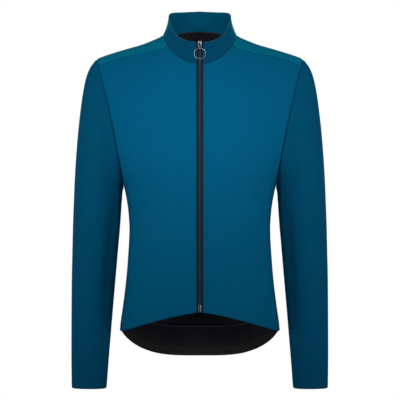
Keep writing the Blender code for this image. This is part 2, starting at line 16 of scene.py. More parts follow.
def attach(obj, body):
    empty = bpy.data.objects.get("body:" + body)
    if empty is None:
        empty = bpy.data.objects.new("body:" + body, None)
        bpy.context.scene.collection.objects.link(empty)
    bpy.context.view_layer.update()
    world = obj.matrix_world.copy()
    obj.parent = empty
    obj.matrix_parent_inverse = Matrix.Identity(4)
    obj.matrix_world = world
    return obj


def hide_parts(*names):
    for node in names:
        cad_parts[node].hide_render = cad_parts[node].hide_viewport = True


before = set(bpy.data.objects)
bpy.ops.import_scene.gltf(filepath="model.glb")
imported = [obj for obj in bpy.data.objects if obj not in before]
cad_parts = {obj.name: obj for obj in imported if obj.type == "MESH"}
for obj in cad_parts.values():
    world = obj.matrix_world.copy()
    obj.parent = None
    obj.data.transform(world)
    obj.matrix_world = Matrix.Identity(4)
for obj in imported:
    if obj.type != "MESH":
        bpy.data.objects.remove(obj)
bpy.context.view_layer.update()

# ------------------------------------------------------------------ camera and studio
# A level camera straight in front of the jacket, a white studio, and soft boxes: pairs at both
# sides and over the shoulders, and one each before the chest, above and behind. Each shines
# through a grid that keeps its light on one part of the cloth.
CAMERA_PLACE = (0.0004, -4.0, -0.3484)
VIEW_WIDTH = 0.8488
SENSOR = 36.0
# The walls look white to the camera, and light the jacket by this share of white
WALLS_SHARE = 0.145

camera = bpy.data.cameras.new("camera")
camera.sensor_width = SENSOR
camera.lens = SENSOR * -CAMERA_PLACE[1] / VIEW_WIDTH
camera_object = bpy.data.objects.new("camera", camera)
camera_object.location = CAMERA_PLACE
camera_object.rotation_euler = (math.radians(90), 0, 0)
bpy.context.scene.collection.objects.link(camera_object)
bpy.context.scene.camera = camera_object
bpy.context.scene.view_settings.view_transform = "Standard"


def soft_box(name, place, aim, width, height, power, spread):
    """A rectangular area light, turned to shine at a point, its grid closed to a spread."""
    light = bpy.data.lights.new(name, "AREA")
    light.shape = "RECTANGLE"
    light.size, light.size_y = width, height
    light.energy = power
    light.spread = math.radians(spread)
    lamp = bpy.data.objects.new(name, light)
    lamp.location = place
    lamp.rotation_euler = (Vector(aim) - Vector(place)).to_track_quat("-Z", "Y").to_euler()
    bpy.context.scene.collection.objects.link(lamp)


def soft_pair(name, place, aim, width, height, powers, spread):
    """A soft box on the wearer's left and its mirror image on the right."""
    for side, hand, power in zip(("left_", "right_"), (1, -1), powers):
        soft_box(side + name, (hand * place[0], *place[1:]), (hand * aim[0], *aim[1:]),
                 width, height, power, spread)


soft_pair("light", (1.90, -2.27, 0.0), (0.10, 0.0, -0.20), 0.6, 0.5, (0.66, 0.72), 30)
soft_pair("side_light", (2.80, -0.90, -0.1), (0.12, 0.0, -0.25), 0.6, 0.5, (0.55, 0.60), 34)
soft_pair("low_light", (2.30, -1.90, -0.7), (0.24, 0.0, -0.55), 0.6, 0.5, (0.29, 0.29), 24)
soft_box("chest_light", (0.0, -3.40, -0.3), (0.0, 0.0, -0.14), 0.3, 0.3, 0.21, 11)
soft_box("upper_light", (0.0, -1.90, 1.5), (0.0, 0.0, 0.0), 0.6, 0.4, 0.085, 20)
soft_pair("upper_light", (0.40, -1.90, 1.5), (0.22, 0.0, -0.05), 0.3, 0.3, (0.032, 0.032), 8.5)
soft_box("back_light", (0.0, 3.4, 1.2), (0.0, 0.0, -0.3), 2.0, 1.4, 40, 120)

world = bpy.data.worlds.new("studio")
world.use_nodes = True
bpy.context.scene.world = world
sky = world.node_tree.nodes["Background"]
sky.inputs["Color"].default_value = (1, 1, 1, 1)
rays = world.node_tree.nodes.new("ShaderNodeLightPath")
bright = world.node_tree.nodes.new("ShaderNodeMapRange")
bright.inputs["To Min"].default_value = WALLS_SHARE
bright.inputs["To Max"].default_value = 1.0
world.node_tree.links.new(rays.outputs["Is Camera Ray"], bright.inputs["Value"])
world.node_tree.links.new(bright.outputs["Result"], sky.inputs["Strength"])


# ------------------------------------------------------------------ front panels
# Two fronts of thick stretch knit, cut on the round from hem to neck, turned in along the zip
# and overlocked to the back at the sides and along the forward shoulder seams.

# The torso's oval sections: height, half width, depth in front, depth behind
TORSO = [
    (-0.690, 0.1695, 0.1140, 0.1130),
    (-0.620, 0.1690, 0.1130, 0.1140),
    (-0.578, 0.1634, 0.1115, 0.1120),
    (-0.527, 0.1570, 0.1090, 0.1080),
    (-0.476, 0.1524, 0.1065, 0.1040),
    (-0.412, 0.1490, 0.1045, 0.1015),
    (-0.374, 0.1511, 0.1065, 0.1030),
    (-0.348, 0.1547, 0.1090, 0.1060),
    (-0.319, 0.1610, 0.1120, 0.1100),
    (-0.298, 0.1695, 0.1145, 0.1130),
    (-0.248, 0.1950, 0.1175, 0.1170),
    (-0.198, 0.2130, 0.1190, 0.1190),
    (-0.148, 0.2260, 0.1190, 0.1200),
    (-0.098, 0.2350, 0.1180, 0.1190),
    (-0.040, 0.2400, 0.1160, 0.1160),
    (0.060, 0.2400, 0.1150, 0.1120),
]
OVAL = 2.3

# The shoulder line: distance from the centre, the front's height and the back's height there
SHOULDER = [
    (0.000, 0.0280, 0.0415),
    (0.030, 0.0230, 0.0350),
    (0.050, 0.0140, 0.0230),
    (0.068, 0.0050, 0.0090),
    (0.080, -0.0005, -0.0005),
    (0.092, -0.0062, -0.0062),
    (0.122, -0.0183, -0.0183),
    (0.166, -0.0311, -0.0311),
    (0.204, -0.0433, -0.0433),
    (0.219, -0.0500, -0.0500),
    (0.235, -0.0600, -0.0600),
]
# The forward shoulder seam: distance from the centre, height
SHOULDER_SEAM = [
    (0.0675, -0.0255),
    (0.1160, -0.0374),
    (0.1600, -0.0460),
    (0.1870, -0.0537),
    (0.2200, -0.0680),
]
ARMPIT = Vector((0.1610, 0.0, -0.3190))
# The armhole leans out upward by a slope, and curves in by a hollow over its height
ARMHOLE_SLOPE, ARMHOLE_HOLLOW, ARMHOLE_HEIGHT = 0.215, 0.0048, 0.2690
NECK_HALF_WIDTH, NECK_FRONT, NECK_BACK = 0.079, 0.072, 0.058
FRONT_EDGE = 0.0065
# Where the shoulder seam meets the neck, by angle round it, and the neck's share of a front's
# columns
SEAM_AT_NECK = math.radians(58.7)
NECK_SHARE = 5 / 11
HEM_SIDE, HEM_FRONT, HEM_POWER = -0.6255, -0.5810, 1.4
HEM_HALF_WIDTH = 0.1690
WALL = 0.0015

# Distances from a sewn edge at which the cloth gets a row of its own
EDGE_ROWS = [0.0, 0.0004, 0.0009, 0.0015, 0.0022, 0.0031, 0.0042, 0.0056, 0.0074]
CLOTH_STEP = 0.0045


class Profile:
    """A smooth curve through a short table, level past its ends."""

    def __init__(self, table, column=1):
        self.keys = [row[0] for row in table]
        self.values = [row[column] for row in table]
        last = len(table) - 1
        self.slopes = []
        for k in range(last + 1):
            low, high = max(k - 1, 0), min(k + 1, last)
            self.slopes.append((self.values[high] - self.values[low])
                               / (self.keys[high] - self.keys[low]))

    def __call__(self, at):
        at = min(max(at, self.keys[0]), self.keys[-1])
        k = min(bisect_right(self.keys, at), len(self.keys) - 1) - 1
        span = self.keys[k + 1] - self.keys[k]
        t = (at - self.keys[k]) / span
        return (self.values[k] * (1 + 2 * t) * (1 - t) ** 2
                + self.values[k + 1] * t * t * (3 - 2 * t)
                + self.slopes[k] * span * t * (1 - t) ** 2
                + self.slopes[k + 1] * span * t * t * (t - 1))


half_width = Profile(TORSO)
seam_height = Profile(SHOULDER_SEAM)
# One face of the torso: its side of the body, depth by height, shoulder line by distance from
# the centre, and how far below that line and in what bend the full depth is reached
Face = namedtuple("Face", "sign depth crest drop bend")
FRONT = Face(sign=-1, depth=Profile(TORSO, 2), crest=Profile(SHOULDER, 1), drop=0.313, bend=1.7)
BACK = Face(sign=1, depth=Profile(TORSO, 3), crest=Profile(SHOULDER, 2), drop=0.200, bend=2.0)


def mix(a, b, t):
    """The value, or the point, at a share of the way from one to another."""
    return a + (b - a) * t


def smooth(t):
    """0 to 1, level at both ends."""
    t = min(max(t, 0.0), 1.0)
    return t * t * (3 - 2 * t)


def armhole_hollow(z):
    """How far the armhole curves in from the straight line between its ends."""
    share = min(max((z - ARMPIT.z) / ARMHOLE_HEIGHT, 0.0), 1.0)
    return ARMHOLE_HOLLOW * 4 * share * (1 - share)


def armhole_x(z):
    """Distance of the armhole seam from the centre."""
    return ARMPIT.x + ARMHOLE_SLOPE * (z - ARMPIT.z) - armhole_hollow(z)


def across(x, z):
    """Share of the full depth that the oval has at x."""
    share = min(1.0, abs(x) / half_width(z))
    return (1 - share ** OVAL) ** (1 / OVAL)


def skin_y(x, z, face):
    """Depth of the jacket's skin on one face at x and z."""
    fall = min(max((face.crest(abs(x)) - z) / face.drop, 0.0), 1.0)
    over = (1 - (1 - fall) ** face.bend) ** (1 / face.bend)
    return face.sign * face.depth(z) * across(x, z) * over


def neck_point(angle):
    """Neck seam by angle round the neck, 0 at the zip."""
    x = NECK_HALF_WIDTH * math.sin(angle)
    face = FRONT if math.cos(angle) > 0 else BACK
    y = -math.cos(angle) * (NECK_FRONT if face is FRONT else NECK_BACK)
    z = 0.0
    for _ in range(6):
        over = abs(y) / (face.depth(z) * across(x, z))
        fall = 1 - (1 - over ** face.bend) ** (1 / face.bend)
        z = face.crest(abs(x)) - face.drop * fall
    return Vector((x, y, z))


def seam_tip_x():
    """Where the forward shoulder seam meets the armhole."""
    x = 0.2
    for _ in range(12):
        x = armhole_x(seam_height(x))
    return x


def edge_x(z):
    """Outer limit of the panels: the side of the oval, then the armhole."""
    return armhole_x(z) if z > ARMPIT.z else half_width(z)


def oval_share(t):
    """Share of the half width at a share of the way round a quarter of the oval."""
    return math.sin(t * math.pi / 2) ** (2 / OVAL)


def front_hem_z(x):
    """The fronts' hem, which rises in a curve towards the zip."""
    return HEM_SIDE + (HEM_FRONT - HEM_SIDE) * (1 - (abs(x) / HEM_HALF_WIDTH) ** HEM_POWER)


NECK_START = math.asin(FRONT_EDGE / NECK_HALF_WIDTH)
SEAM_START_X = neck_point(SEAM_AT_NECK).x
SEAM_TIP_X = seam_tip_x()


def front_top(u):
    """Top edge of a front: the neck seam from the zip, then the forward shoulder seam."""
    if u <= NECK_SHARE:
        point = neck_point(mix(NECK_START, SEAM_AT_NECK, u / NECK_SHARE))
        return point.x, point.z
    x = mix(SEAM_START_X, SEAM_TIP_X, (u - NECK_SHARE) / (1 - NECK_SHARE))
    return x, seam_height(x)


def front_point(u, v):
    """Left front by share from zip to side, and by height: hem 0, armpit 1, top edge 2."""
    even = oval_share(u)

    def x_at(z, share):
        return FRONT_EDGE + (edge_x(z) - FRONT_EDGE) * share

    if v <= 1:
        x = 0.5 * HEM_HALF_WIDTH
        for _ in range(10):
            z = mix(front_hem_z(x), ARMPIT.z, v)
            x = x_at(z, even)
        y = 0.0 if u > 0.9999 else skin_y(x, z, FRONT)
        return Vector((x, y, z))
    top_x, top_z = front_top(u)
    z = mix(ARMPIT.z, top_z, v - 1)
    above = (top_x - FRONT_EDGE) / (edge_x(top_z) - FRONT_EDGE)
    x = x_at(z, mix(even, above, smooth(v - 1)))
    return Vector((x, skin_y(x, z, FRONT), z))


def flipped(surface):
    """The same surface on the wearer's other side."""
    def point(u, v):
        p = surface(1 - u, v)
        return Vector((-p.x, p.y, p.z))
    return point


def turned(columns):
    """The same columns for a flipped surface."""
    return [1 - u for u in reversed(columns)]


def with_share(columns, share):
    """The columns, with the nearest one moved to a share at which the edge turns a corner."""
    nearest = min(range(len(columns)), key=lambda k: abs(columns[k] - share))
    return columns[:nearest] + [share] + columns[nearest + 1:]


def running_lengths(points):
    """The way along points to each of them."""
    lengths = [0.0]
    for a, b in zip(points, points[1:]):
        lengths.append(lengths[-1] + (b - a).length)
    return lengths


def stations(line, start, end, step, fine_start=True, fine_end=True):
    """Parameters along a line for even steps of cloth, with fine ones beside its sewn ends."""
    samples = 300
    at = [mix(start, end, k / samples) for k in range(samples + 1)]
    lengths = running_lengths([line(t) for t in at])
    whole = lengths[-1]
    low = EDGE_ROWS if fine_start else [0.0]
    high = EDGE_ROWS if fine_end else [0.0]
    room = whole - low[-1] - high[-1]
    count = max(1, round(room / step))
    wanted = low[:-1] + [low[-1] + room * k / count for k in range(count + 1)]
    wanted += [whole - d for d in reversed(high[:-1])]
    params = []
    for want in wanted:
        k = min(max(bisect_right(lengths, want), 1), samples)
        span = lengths[k] - lengths[k - 1]
        params.append(mix(at[k - 1], at[k], (want - lengths[k - 1]) / span if span else 0.0))
    params[0], params[-1] = start, end
    return params


def swell(distance, at, width):
    """1 at one distance, fading smoothly on both sides of it."""
    return math.exp(-((distance - at) / width) ** 2)


# A soft fold: its two ends, how far its middle bows aside, its height and its half width
Crease = namedtuple("Crease", "x0 z0 x1 z1 bow height width")


def creased(creases, x, z):
    """Height of the soft troughs and ridges at a place, each fading towards its two ends."""
    total = 0.0
    for c in creases:
        run_x, run_z = c.x1 - c.x0, c.z1 - c.z0
        length = math.hypot(run_x, run_z)
        t = ((x - c.x0) * run_x + (z - c.z0) * run_z) / length ** 2
        if 0 < t < 1:
            off = ((x - c.x0) * run_z - (z - c.z0) * run_x) / length
            total += c.height * math.sin(math.pi * t) * swell(off, c.bow * 4 * t * (1 - t), c.width)
    return total


def seam_dip(distance, along, depth=0.0012):
    """The cloth turns down into a sewn seam, puckers a little and rides over its allowance."""
    pucker = math.sin(along * 610) * math.sin(along * 173 + 1) + 0.6 * math.sin(along * 397 + 2)
    return (-depth * swell(distance, 0, 0.0019) + 0.26 * depth * swell(distance, 0.0050, 0.0028)
            + 0.00010 * pucker * swell(distance, 0.003, 0.006))


def neck_dip(p, distance, along):
    """The neck seam is deep in front and lies flatter round the sides, where the cloth flares."""
    flat = smooth((p.y + 0.062) / 0.030) * (1 - 0.7 * smooth((p.y - 0.02) / 0.02))
    return seam_dip(distance, along, mix(0.0012, 0.0003, flat))


def lapped_dip(distance, along, over):
    """At the shoulder the back's edge rides over the allowance and drops to the front's."""
    pucker = math.sin(along * 530) * math.sin(along * 211 + 1)
    ride = 0.0010 * swell(distance, 0.0032, 0.0024) if over else 0.0
    meet = 0.0010 if over else 0.00083
    return (ride - meet * swell(distance, 0, 0.0011)
            + 0.00008 * pucker * swell(distance, 0.003, 0.005))


def rolled_edge(distance, depth=0.0016, width=0.0034):
    """A turned hem curls in at its edge."""
    return -depth * max(0.0, 1 - distance / width) ** 2


def stitch_groove(distance, at):
    """The shallow groove that a row of topstitching draws into the cloth."""
    return -0.0003 * swell(distance, at, 0.001)


# Every cloth's rows of places and normals, for the seams and the stitching that follow it
cloths = {}
# Added to the distance from a folded edge, so that the finish can tell it from a sewn one
PAST_FOLD = 1.0


def shell(name, surface, columns, rows, relief, wall, materials, closed=False, folded=False):
    """A cloth sheet on a smooth surface, with relief(point, from_start, from_end, from_low,
    from_high) raised on its outer side and a wall on its inner side. A folded one has a fold
    for its top edge, not a sewn one, so that the knit's finish paints no seam shade along it, and
    paints a highlight on its front half."""
    grid = [[surface(u, v) for u in columns] for v in rows]
    tall, wide = len(rows), len(columns)
    over = [running_lengths(row) for row in grid]
    up = [running_lengths([row[c] for row in grid]) for c in range(wide)]
    cloths[name] = []
    for r in range(tall):
        row = []
        for c in range(wide):
            before, after = max(c - 1, 0), min(c + 1, wide - 1)
            if closed and c in (0, wide - 1):
                before, after = wide - 2, 1
            rising = grid[min(r + 1, tall - 1)][c] - grid[max(r - 1, 0)][c]
            normal = (grid[r][after] - grid[r][before]).cross(rising).normalized()
            height = relief(grid[r][c], over[r][c], over[r][-1] - over[r][c],
                            up[c][r], up[c][-1] - up[c][r])
            row.append((grid[r][c] + normal * height, normal))
        cloths[name].append(row)

    bm = bmesh.new()
    bmesh.ops.create_grid(bm, x_segments=wide - 1, y_segments=tall - 1, size=1)
    bm.verts.ensure_lookup_table()
    cloth_uv = bm.loops.layers.uv.new("cloth")
    edge_uv = bm.loops.layers.uv.new("edges")
    middle = [lengths[-1] / 2 for lengths in over]
    for face in bm.faces:
        in_upper_half = min(vert.index for vert in face.verts) // wide >= tall // 2
        for loop in face.loops:
            r, c = divmod(loop.vert.index, wide)
            loop[cloth_uv].uv = (over[r][c] - middle[r], up[c][r])
            to_side = min(over[r][c], over[r][-1] - over[r][c])
            to_low, to_high = up[c][r], up[c][-1] - up[c][r]
            to_end = min(to_low, to_high)
            if folded:
                to_end = PAST_FOLD + to_high if in_upper_half else to_low
            loop[edge_uv].uv = (to_side, to_end)
    for r, row in enumerate(cloths[name]):
        for c, (place, _) in enumerate(row):
            bm.verts[r * wide + c].co = place
    if closed:
        bmesh.ops.remove_doubles(bm, verts=bm.verts, dist=1e-6)
    piece = as_object(name, bm, materials)
    thickness = piece.modifiers.new("wall", "SOLIDIFY")
    thickness.thickness = wall
    thickness.offset = -1
    thickness.material_offset = 1
    return piece


def as_object(name, bm, materials):
    """A finished bmesh as a smooth-shaded object with its materials."""
    mesh = bpy.data.meshes.new(name)
    bm.to_mesh(mesh)
    bm.free()
    mesh.shade_smooth()
    for material in materials:
        mesh.materials.append(material)
    piece = bpy.data.objects.new(name, mesh)
    bpy.context.scene.collection.objects.link(piece)
    return piece


class Maths:
    """A shader socket, so that Python's own sums add Math nodes."""

    def __init__(self, finish, socket):
        self.finish, self.socket = finish, socket

    def made(self, operation, *values):
        return self.finish.node("Math", {"operation": operation}, dict(enumerate(values)))

    def __add__(self, other):
        return self.made("ADD", self, other)

    def __sub__(self, other):
        return self.made("SUBTRACT", self, other)

    def __rsub__(self, other):
        return self.made("SUBTRACT", other, self)

    def __mul__(self, other):
        return self.made("MULTIPLY", self, other)

    def __truediv__(self, other):
        return self.made("DIVIDE", self, other)

    def __neg__(self):
        return self * -1

    __radd__, __rmul__ = __add__, __mul__

    def smaller(self, other):
        return self.made("MINIMUM", self, other)

    def power(self, other):
        return self.made("POWER", self, other)

    def sine(self):
        return self.made("SINE", self)

    def fraction(self):
        return self.made("FRACT", self)

    def size(self):
        return self.made("ABSOLUTE", self)

    def limited(self):
        return self.made("MINIMUM", self.made("MAXIMUM", self, 0.0), 1.0)


class Finish:
    """A material and its Principled shader."""

    def __init__(self, name, uniform):
        self.material = bpy.data.materials.new(name)
        self.material.use_nodes = True
        self.tree = self.material.node_tree
        self.shader = self.tree.nodes["Principled BSDF"]
        for socket, value in uniform.items():
            self.shader.inputs[socket].default_value = value

    def node(self, kind, settings, sockets, output=0):
        """One node: its settings first, then the values or links of its sockets."""
        node = self.tree.nodes.new("ShaderNode" + kind)
        for setting, value in settings.items():
            setattr(node, setting, value)
        for socket, value in sockets.items():
            if isinstance(value, Maths):
                self.tree.links.new(value.socket, node.inputs[socket])
            else:
                node.inputs[socket].default_value = value
        return Maths(self, node.outputs[output])

    def across_and_up(self, layer):
        """A UV map's two directions."""
        uv = self.node("UVMap", {"uv_map": layer}, {})
        split = self.node("SeparateXYZ", {}, {"Vector": uv})
        return split, Maths(self, split.socket.node.outputs[1])

    def place(self):
        return self.node("TexCoord", {}, {}, "Object")

    def noise(self, vector, scale, detail, roughness=0.5):
        return self.node("TexNoise", {}, {"Vector": vector, "Scale": scale, "Detail": detail,
                                          "Roughness": roughness})

    def blend(self, factor, first, second):
        """Two colours, mixed."""
        return self.node("Mix", {"data_type": "RGBA"},
                         {"Factor": factor, 6: first, 7: second}, 2)

    def feed(self, socket, value):
        self.tree.links.new(value.socket, self.shader.inputs[socket])

    def bump(self, height, distance, strength):
        normal = self.node("Bump", {}, {"Height": height, "Distance": distance,
                                        "Strength": strength})
        self.feed("Normal", normal)


def shade(colour, factor):
    """A colour made darker or lighter, with its alpha."""
    return tuple(channel * factor for channel in colour) + (1.0,)


WALE, COURSE = 0.0012, 0.0010
SEAM_SHADE_WIDTH = 0.0022
# Painted highlight along a fold: its width, how far in front of the side it is full, and its colour
FOLD_HIGHLIGHT_WIDTH, FOLD_HIGHLIGHT_FROM_SIDE = 0.0038, 0.02
FOLD_HIGHLIGHT_TEAL = (0.055, 0.190, 0.235, 1.0)


def stretch_knit(name, colour, sheen=0.05):
    """Smooth face of a thick stretch knit: fine wales of V-shaped stitches, faintly heathered,
    with painted shade in the furrows between the wales and along its sewn edges, and a painted
    highlight along a fold in front."""
    cloth = Finish(name, {"Specular IOR Level": 0.02, "Sheen Weight": sheen,
                          "Sheen Roughness": 0.45, "Sheen Tint": (0.02, 0.80, 0.95, 1.0)})
    over, up = cloth.across_and_up("cloth")
    place = cloth.place()
    wale = (over / WALE).fraction() - 0.5
    course = ((up / COURSE + wale.size() * 1.1) * math.tau).sine()
    height = (1 - (wale * 2).power(2)) * (course * 0.35 + 0.65)
    blotches = cloth.noise(place, 26, 3)
    fibres = cloth.noise(place, 900, 2, 0.7)
    tone = blotches * 0.4 + fibres * 0.6
    tone = cloth.blend(tone, shade(colour, 0.86), shade(colour, 1.14))
    # Painted shade: the furrows between the wales are darkened.
    tone = cloth.blend((1 - height) * 0.22, tone, shade(colour, 0.45))
    to_side, to_end = cloth.across_and_up("edges")
    # Painted shade: the cloth darkens towards its sewn edges, at seams and hems alike, for the
    # shadow in the seam grooves.
    seam_shade = (1 - to_side.smaller(to_end) / SEAM_SHADE_WIDTH).limited().power(1.5) * 0.35
    tone = cloth.blend(seam_shade, tone, shade(colour, 0.16))
    # Painted highlight: a paler, greyer teal along the collar's top fold, on its front half only.
    in_front = -cloth.node("SeparateXYZ", {}, {"Vector": place}, 1) / FOLD_HIGHLIGHT_FROM_SIDE
    at_fold = (1 - (to_end - PAST_FOLD).size() / FOLD_HIGHLIGHT_WIDTH).limited()
    fold_highlight = at_fold * in_front.limited() * 0.8
    cloth.feed("Base Color", cloth.blend(fold_highlight, tone, FOLD_HIGHLIGHT_TEAL))
    cloth.feed("Roughness", fibres * 0.12 + 0.76)
    cloth.bump(height + fibres * 0.6, 0.00022, 0.35)
    return cloth.material


def brushed_black(name, colour):
    """Brushed inner face: short dense fleece, matt, with faint lighter tips."""
    cloth = Finish(name, {"Roughness": 0.95, "Specular IOR Level": 0.10})
    place = cloth.place()
    nap = cloth.noise(place, 420, 4, 0.7)
    drift = cloth.noise(place, 38, 2)
    cloth.feed("Base Color", cloth.blend(nap * 0.7 + drift * 0.3, shade(colour, 0.55),
                                         shade(colour, 1.5)))
    cloth.bump(nap, 0.0006, 0.5)
    return cloth.material


body_knit = stretch_knit("teal_stretch_knit", (0.0002, 0.100, 0.212))
inner_fleece = brushed_black("black_brushed_inner", (0.0205, 0.0195, 0.0290))

TOPSTITCH = 0.0073
FRONT_HEM_GROOVE = 0.0125
# Soft folds beside the zip and over the belly
FRONT_CREASES = {
    "front_left": [
        Crease(0.030, -0.560, 0.080, -0.540, 0.003, 0.0011, 0.006),
        Crease(0.022, -0.535, 0.095, -0.515, 0.004, -0.0010, 0.008),
        Crease(0.060, -0.470, 0.135, -0.430, 0.006, 0.0008, 0.012),
        Crease(0.070, -0.375, 0.150, -0.335, 0.008, -0.0009, 0.014),
        Crease(0.085, -0.300, 0.165, -0.270, 0.006, 0.0010, 0.012),
        Crease(0.100, -0.235, 0.175, -0.290, 0.005, -0.0010, 0.011),
    ],
    "front_right": [
        Crease(-0.026, -0.552, -0.088, -0.530, -0.003, 0.0010, 0.007),
        Crease(-0.050, -0.528, -0.110, -0.500, -0.004, -0.0010, 0.009),
        Crease(-0.055, -0.450, -0.140, -0.420, -0.005, 0.0008, 0.012),
        Crease(-0.080, -0.385, -0.148, -0.350, -0.006, -0.0008, 0.013),
        Crease(-0.090, -0.310, -0.162, -0.285, -0.006, 0.0010, 0.012),
        Crease(-0.105, -0.225, -0.172, -0.280, -0.006, -0.0011, 0.012),
    ],
}


def zip_fold(distance):
    """The front edge is turned in twice and topstitched: a low welt beside the zip."""
    return (-0.0014 * max(0.0, 1 - distance / 0.0022) ** 2
            + 0.0006 * smooth(distance / 0.003) * (1 - smooth((distance - 0.0050) / 0.0025))
            - 0.0007 * swell(distance, TOPSTITCH, 0.0011))


def front_relief(creases, zip_first):
    def relief(p, start, end, low, high):
        to_zip, to_side = (start, end) if zip_first else (end, start)
        at_neck = abs(p.x) < SEAM_START_X
        at_top = neck_dip(p, high, to_zip) if at_neck else lapped_dip(high, to_zip, False)
        return (creased(creases, p.x, p.z) + zip_fold(to_zip) + seam_dip(to_side, low)
                + rolled_edge(low) + at_top + stitch_groove(low, FRONT_HEM_GROOVE))
    return relief


# Spaced evenly along one line across the chest and one up the front
front_columns = with_share(stations(lambda u: front_point(u, 0.6), 0, 1, CLOTH_STEP), NECK_SHARE)
front_rows = stations(lambda v: front_point(0.35, v), 0, 2, CLOTH_STEP)
for side in ("front_left", "front_right"):
    left = side == "front_left"
    panel = shell(side + "_cloth", front_point if left else flipped(front_point),
                  front_columns if left else turned(front_columns), front_rows,
                  front_relief(FRONT_CREASES[side], left), WALL, [body_knit, inner_fleece])
    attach(panel, "jacket")
    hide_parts(side)

# ------------------------------------------------------------------ back
# One piece of the knit, in a lighter, greener tone that is in part painted sheen, from the tail
# seam up. It wraps over the shoulders to the forward seams, so that no seam lies where a pack or
# a strap would press.
TAIL_SEAM, TAIL_SEAM_RISE, TAIL_SEAM_POWER = -0.6240, 0.0360, 3.0
# The neck's share of the columns of half the back
BACK_NECK_SHARE = 9 / 15


def over_shoulder(x, turn):
    """Skin point at x, `turn` round the shoulder: 0 on its line, positive behind it."""
    face = BACK if turn > 0 else FRONT
    lean = abs(turn)
    z = face.crest(abs(x)) - face.drop * (1 - math.cos(lean) ** (2 / face.bend))
    depth = face.depth(z) * across(x, z) * math.sin(lean) ** (2 / face.bend)
    return Vector((x, face.sign * depth, z))


def turn_at(x, z, face):
    """The turn round the shoulder of a skin point on one face."""
    fall = min(max((face.crest(abs(x)) - z) / face.drop, 0.0), 1.0)
    return face.sign * math.acos((1 - fall) ** (face.bend / 2))


def tail_seam_z(x):
    """The seam between the back and the tail, which rises towards the sides."""
    return TAIL_SEAM + TAIL_SEAM_RISE * (abs(x) / HEM_HALF_WIDTH) ** TAIL_SEAM_POWER


def settled(share, height):
    """Point of the back's face whose x is a share of the edge at its own height."""
    x = share * HEM_HALF_WIDTH
    for _ in range(10):
        x = share * edge_x(height(x))
    z = height(x)
    return Vector((x, 0.0 if share == 1 and z <= ARMPIT.z else skin_y(x, z, BACK), z))


@cache
def back_top(u):
    """Top edge of the back's left half from the middle: x, and turn round the shoulder."""
    if u <= BACK_NECK_SHARE:
        p = neck_point(mix(math.pi, SEAM_AT_NECK, u / BACK_NECK_SHARE))
        return p.x, turn_at(p.x, p.z, BACK if p.y > 0 else FRONT)
    x = mix(SEAM_START_X, SEAM_TIP_X, (u - BACK_NECK_SHARE) / (1 - BACK_NECK_SHARE))
    return x, turn_at(x, seam_height(x), FRONT)


def back_half(u, v):
    """Left half of the back from the middle: tail seam 0, armpit 1, full depth 2, top edge 3."""
    share = oval_share(u)
    if v <= 1:
        return settled(share, lambda x: mix(tail_seam_z(x), ARMPIT.z, v))
    if v <= 2:
        return settled(share, lambda x: mix(ARMPIT.z, BACK.crest(abs(x)) - BACK.drop, v - 1))
    top_x, top_turn = back_top(u)
    turn = mix(math.pi / 2, top_turn, v - 2)
    top_share = top_x / armhole_x(over_shoulder(top_x, top_turn).z)
    x = top_x
    for _ in range(10):
        x = mix(share, top_share, v - 2) * armhole_x(over_shoulder(x, turn).z)
    return over_shoulder(x, turn)


def both_sides(half):
    """A surface from the wearer's left edge, 0, over the middle, 1, to the right edge, 2, by the
    left half's share from its middle."""
    def point(u, v):
        p = half(abs(1 - u), v)
        return Vector((-p.x if u > 1 else p.x, p.y, p.z))
    return point


def to_both_sides(columns):
    """Columns from the left edge to the middle, and on to the right edge."""
    return columns + [2 - u for u in reversed(columns[:-1])]


back_point = both_sides(back_half)
BACK_CREASES = [
    Crease(0.020, -0.420, 0.120, -0.385, 0.010, -0.0012, 0.013),
    Crease(0.010, -0.470, 0.105, -0.450, 0.008, 0.0010, 0.012),
    Crease(-0.015, -0.405, -0.125, -0.380, -0.009, -0.0011, 0.012),
    Crease(-0.025, -0.455, -0.110, -0.430, -0.008, 0.0010, 0.013),
    Crease(0.095, -0.170, 0.165, -0.280, 0.010, -0.0013, 0.012),
    Crease(-0.100, -0.160, -0.165, -0.275, -0.010, -0.0012, 0.013),
    Crease(0.070, -0.210, 0.140, -0.310, 0.009, 0.0010, 0.012),
    Crease(-0.072, -0.200, -0.142, -0.300, -0.010, 0.0011, 0.011),
]
# The folds lie on the back's own face, not on its stretch over the shoulders
BACK_CREASES_FROM = 0.02


def back_relief(p, start, end, low, high):
    folds = creased(BACK_CREASES, p.x, p.z) if p.y > BACK_CREASES_FROM else 0.0
    at_neck = abs(p.x) < NECK_HALF_WIDTH
    at_top = neck_dip(p, high, start) if at_neck else lapped_dip(high, start, True)
    return folds + seam_dip(start, low) + seam_dip(end, low) + seam_dip(low, start) + at_top


left_columns = stations(lambda u: back_point(u, 0.8), 0, 1, CLOTH_STEP, fine_end=False)
back_columns = to_both_sides(with_share(left_columns, 1 - BACK_NECK_SHARE))
back_rows = stations(lambda v: back_point(0.7, v), 0, 3, CLOTH_STEP)
# Lighter and greener than the fronts' knit: this tone is in part painted sheen, for the light that
# the upward-facing shoulders catch.
back_knit_and_sheen = stretch_knit("teal_back_knit_and_sheen", (0.0007, 0.147, 0.240))
back = shell("back_cloth", back_point, back_columns, back_rows, back_relief, WALL,
             [back_knit_and_sheen, inner_fleece])
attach(back, "jacket")
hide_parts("back")

# ------------------------------------------------------------------ tail panel
# The lowest part of the back, cut on its own so that the tail drops and cups in. Its hem is
# turned in over the gripper.
HEM_TAIL, TAIL_ROUND, TAIL_CORNER, CORNER_SHARE = -0.6876, 3.5, 20, 0.16
TAIL_HEM_GROOVE, TAIL_STEP = 0.0205, 0.0035


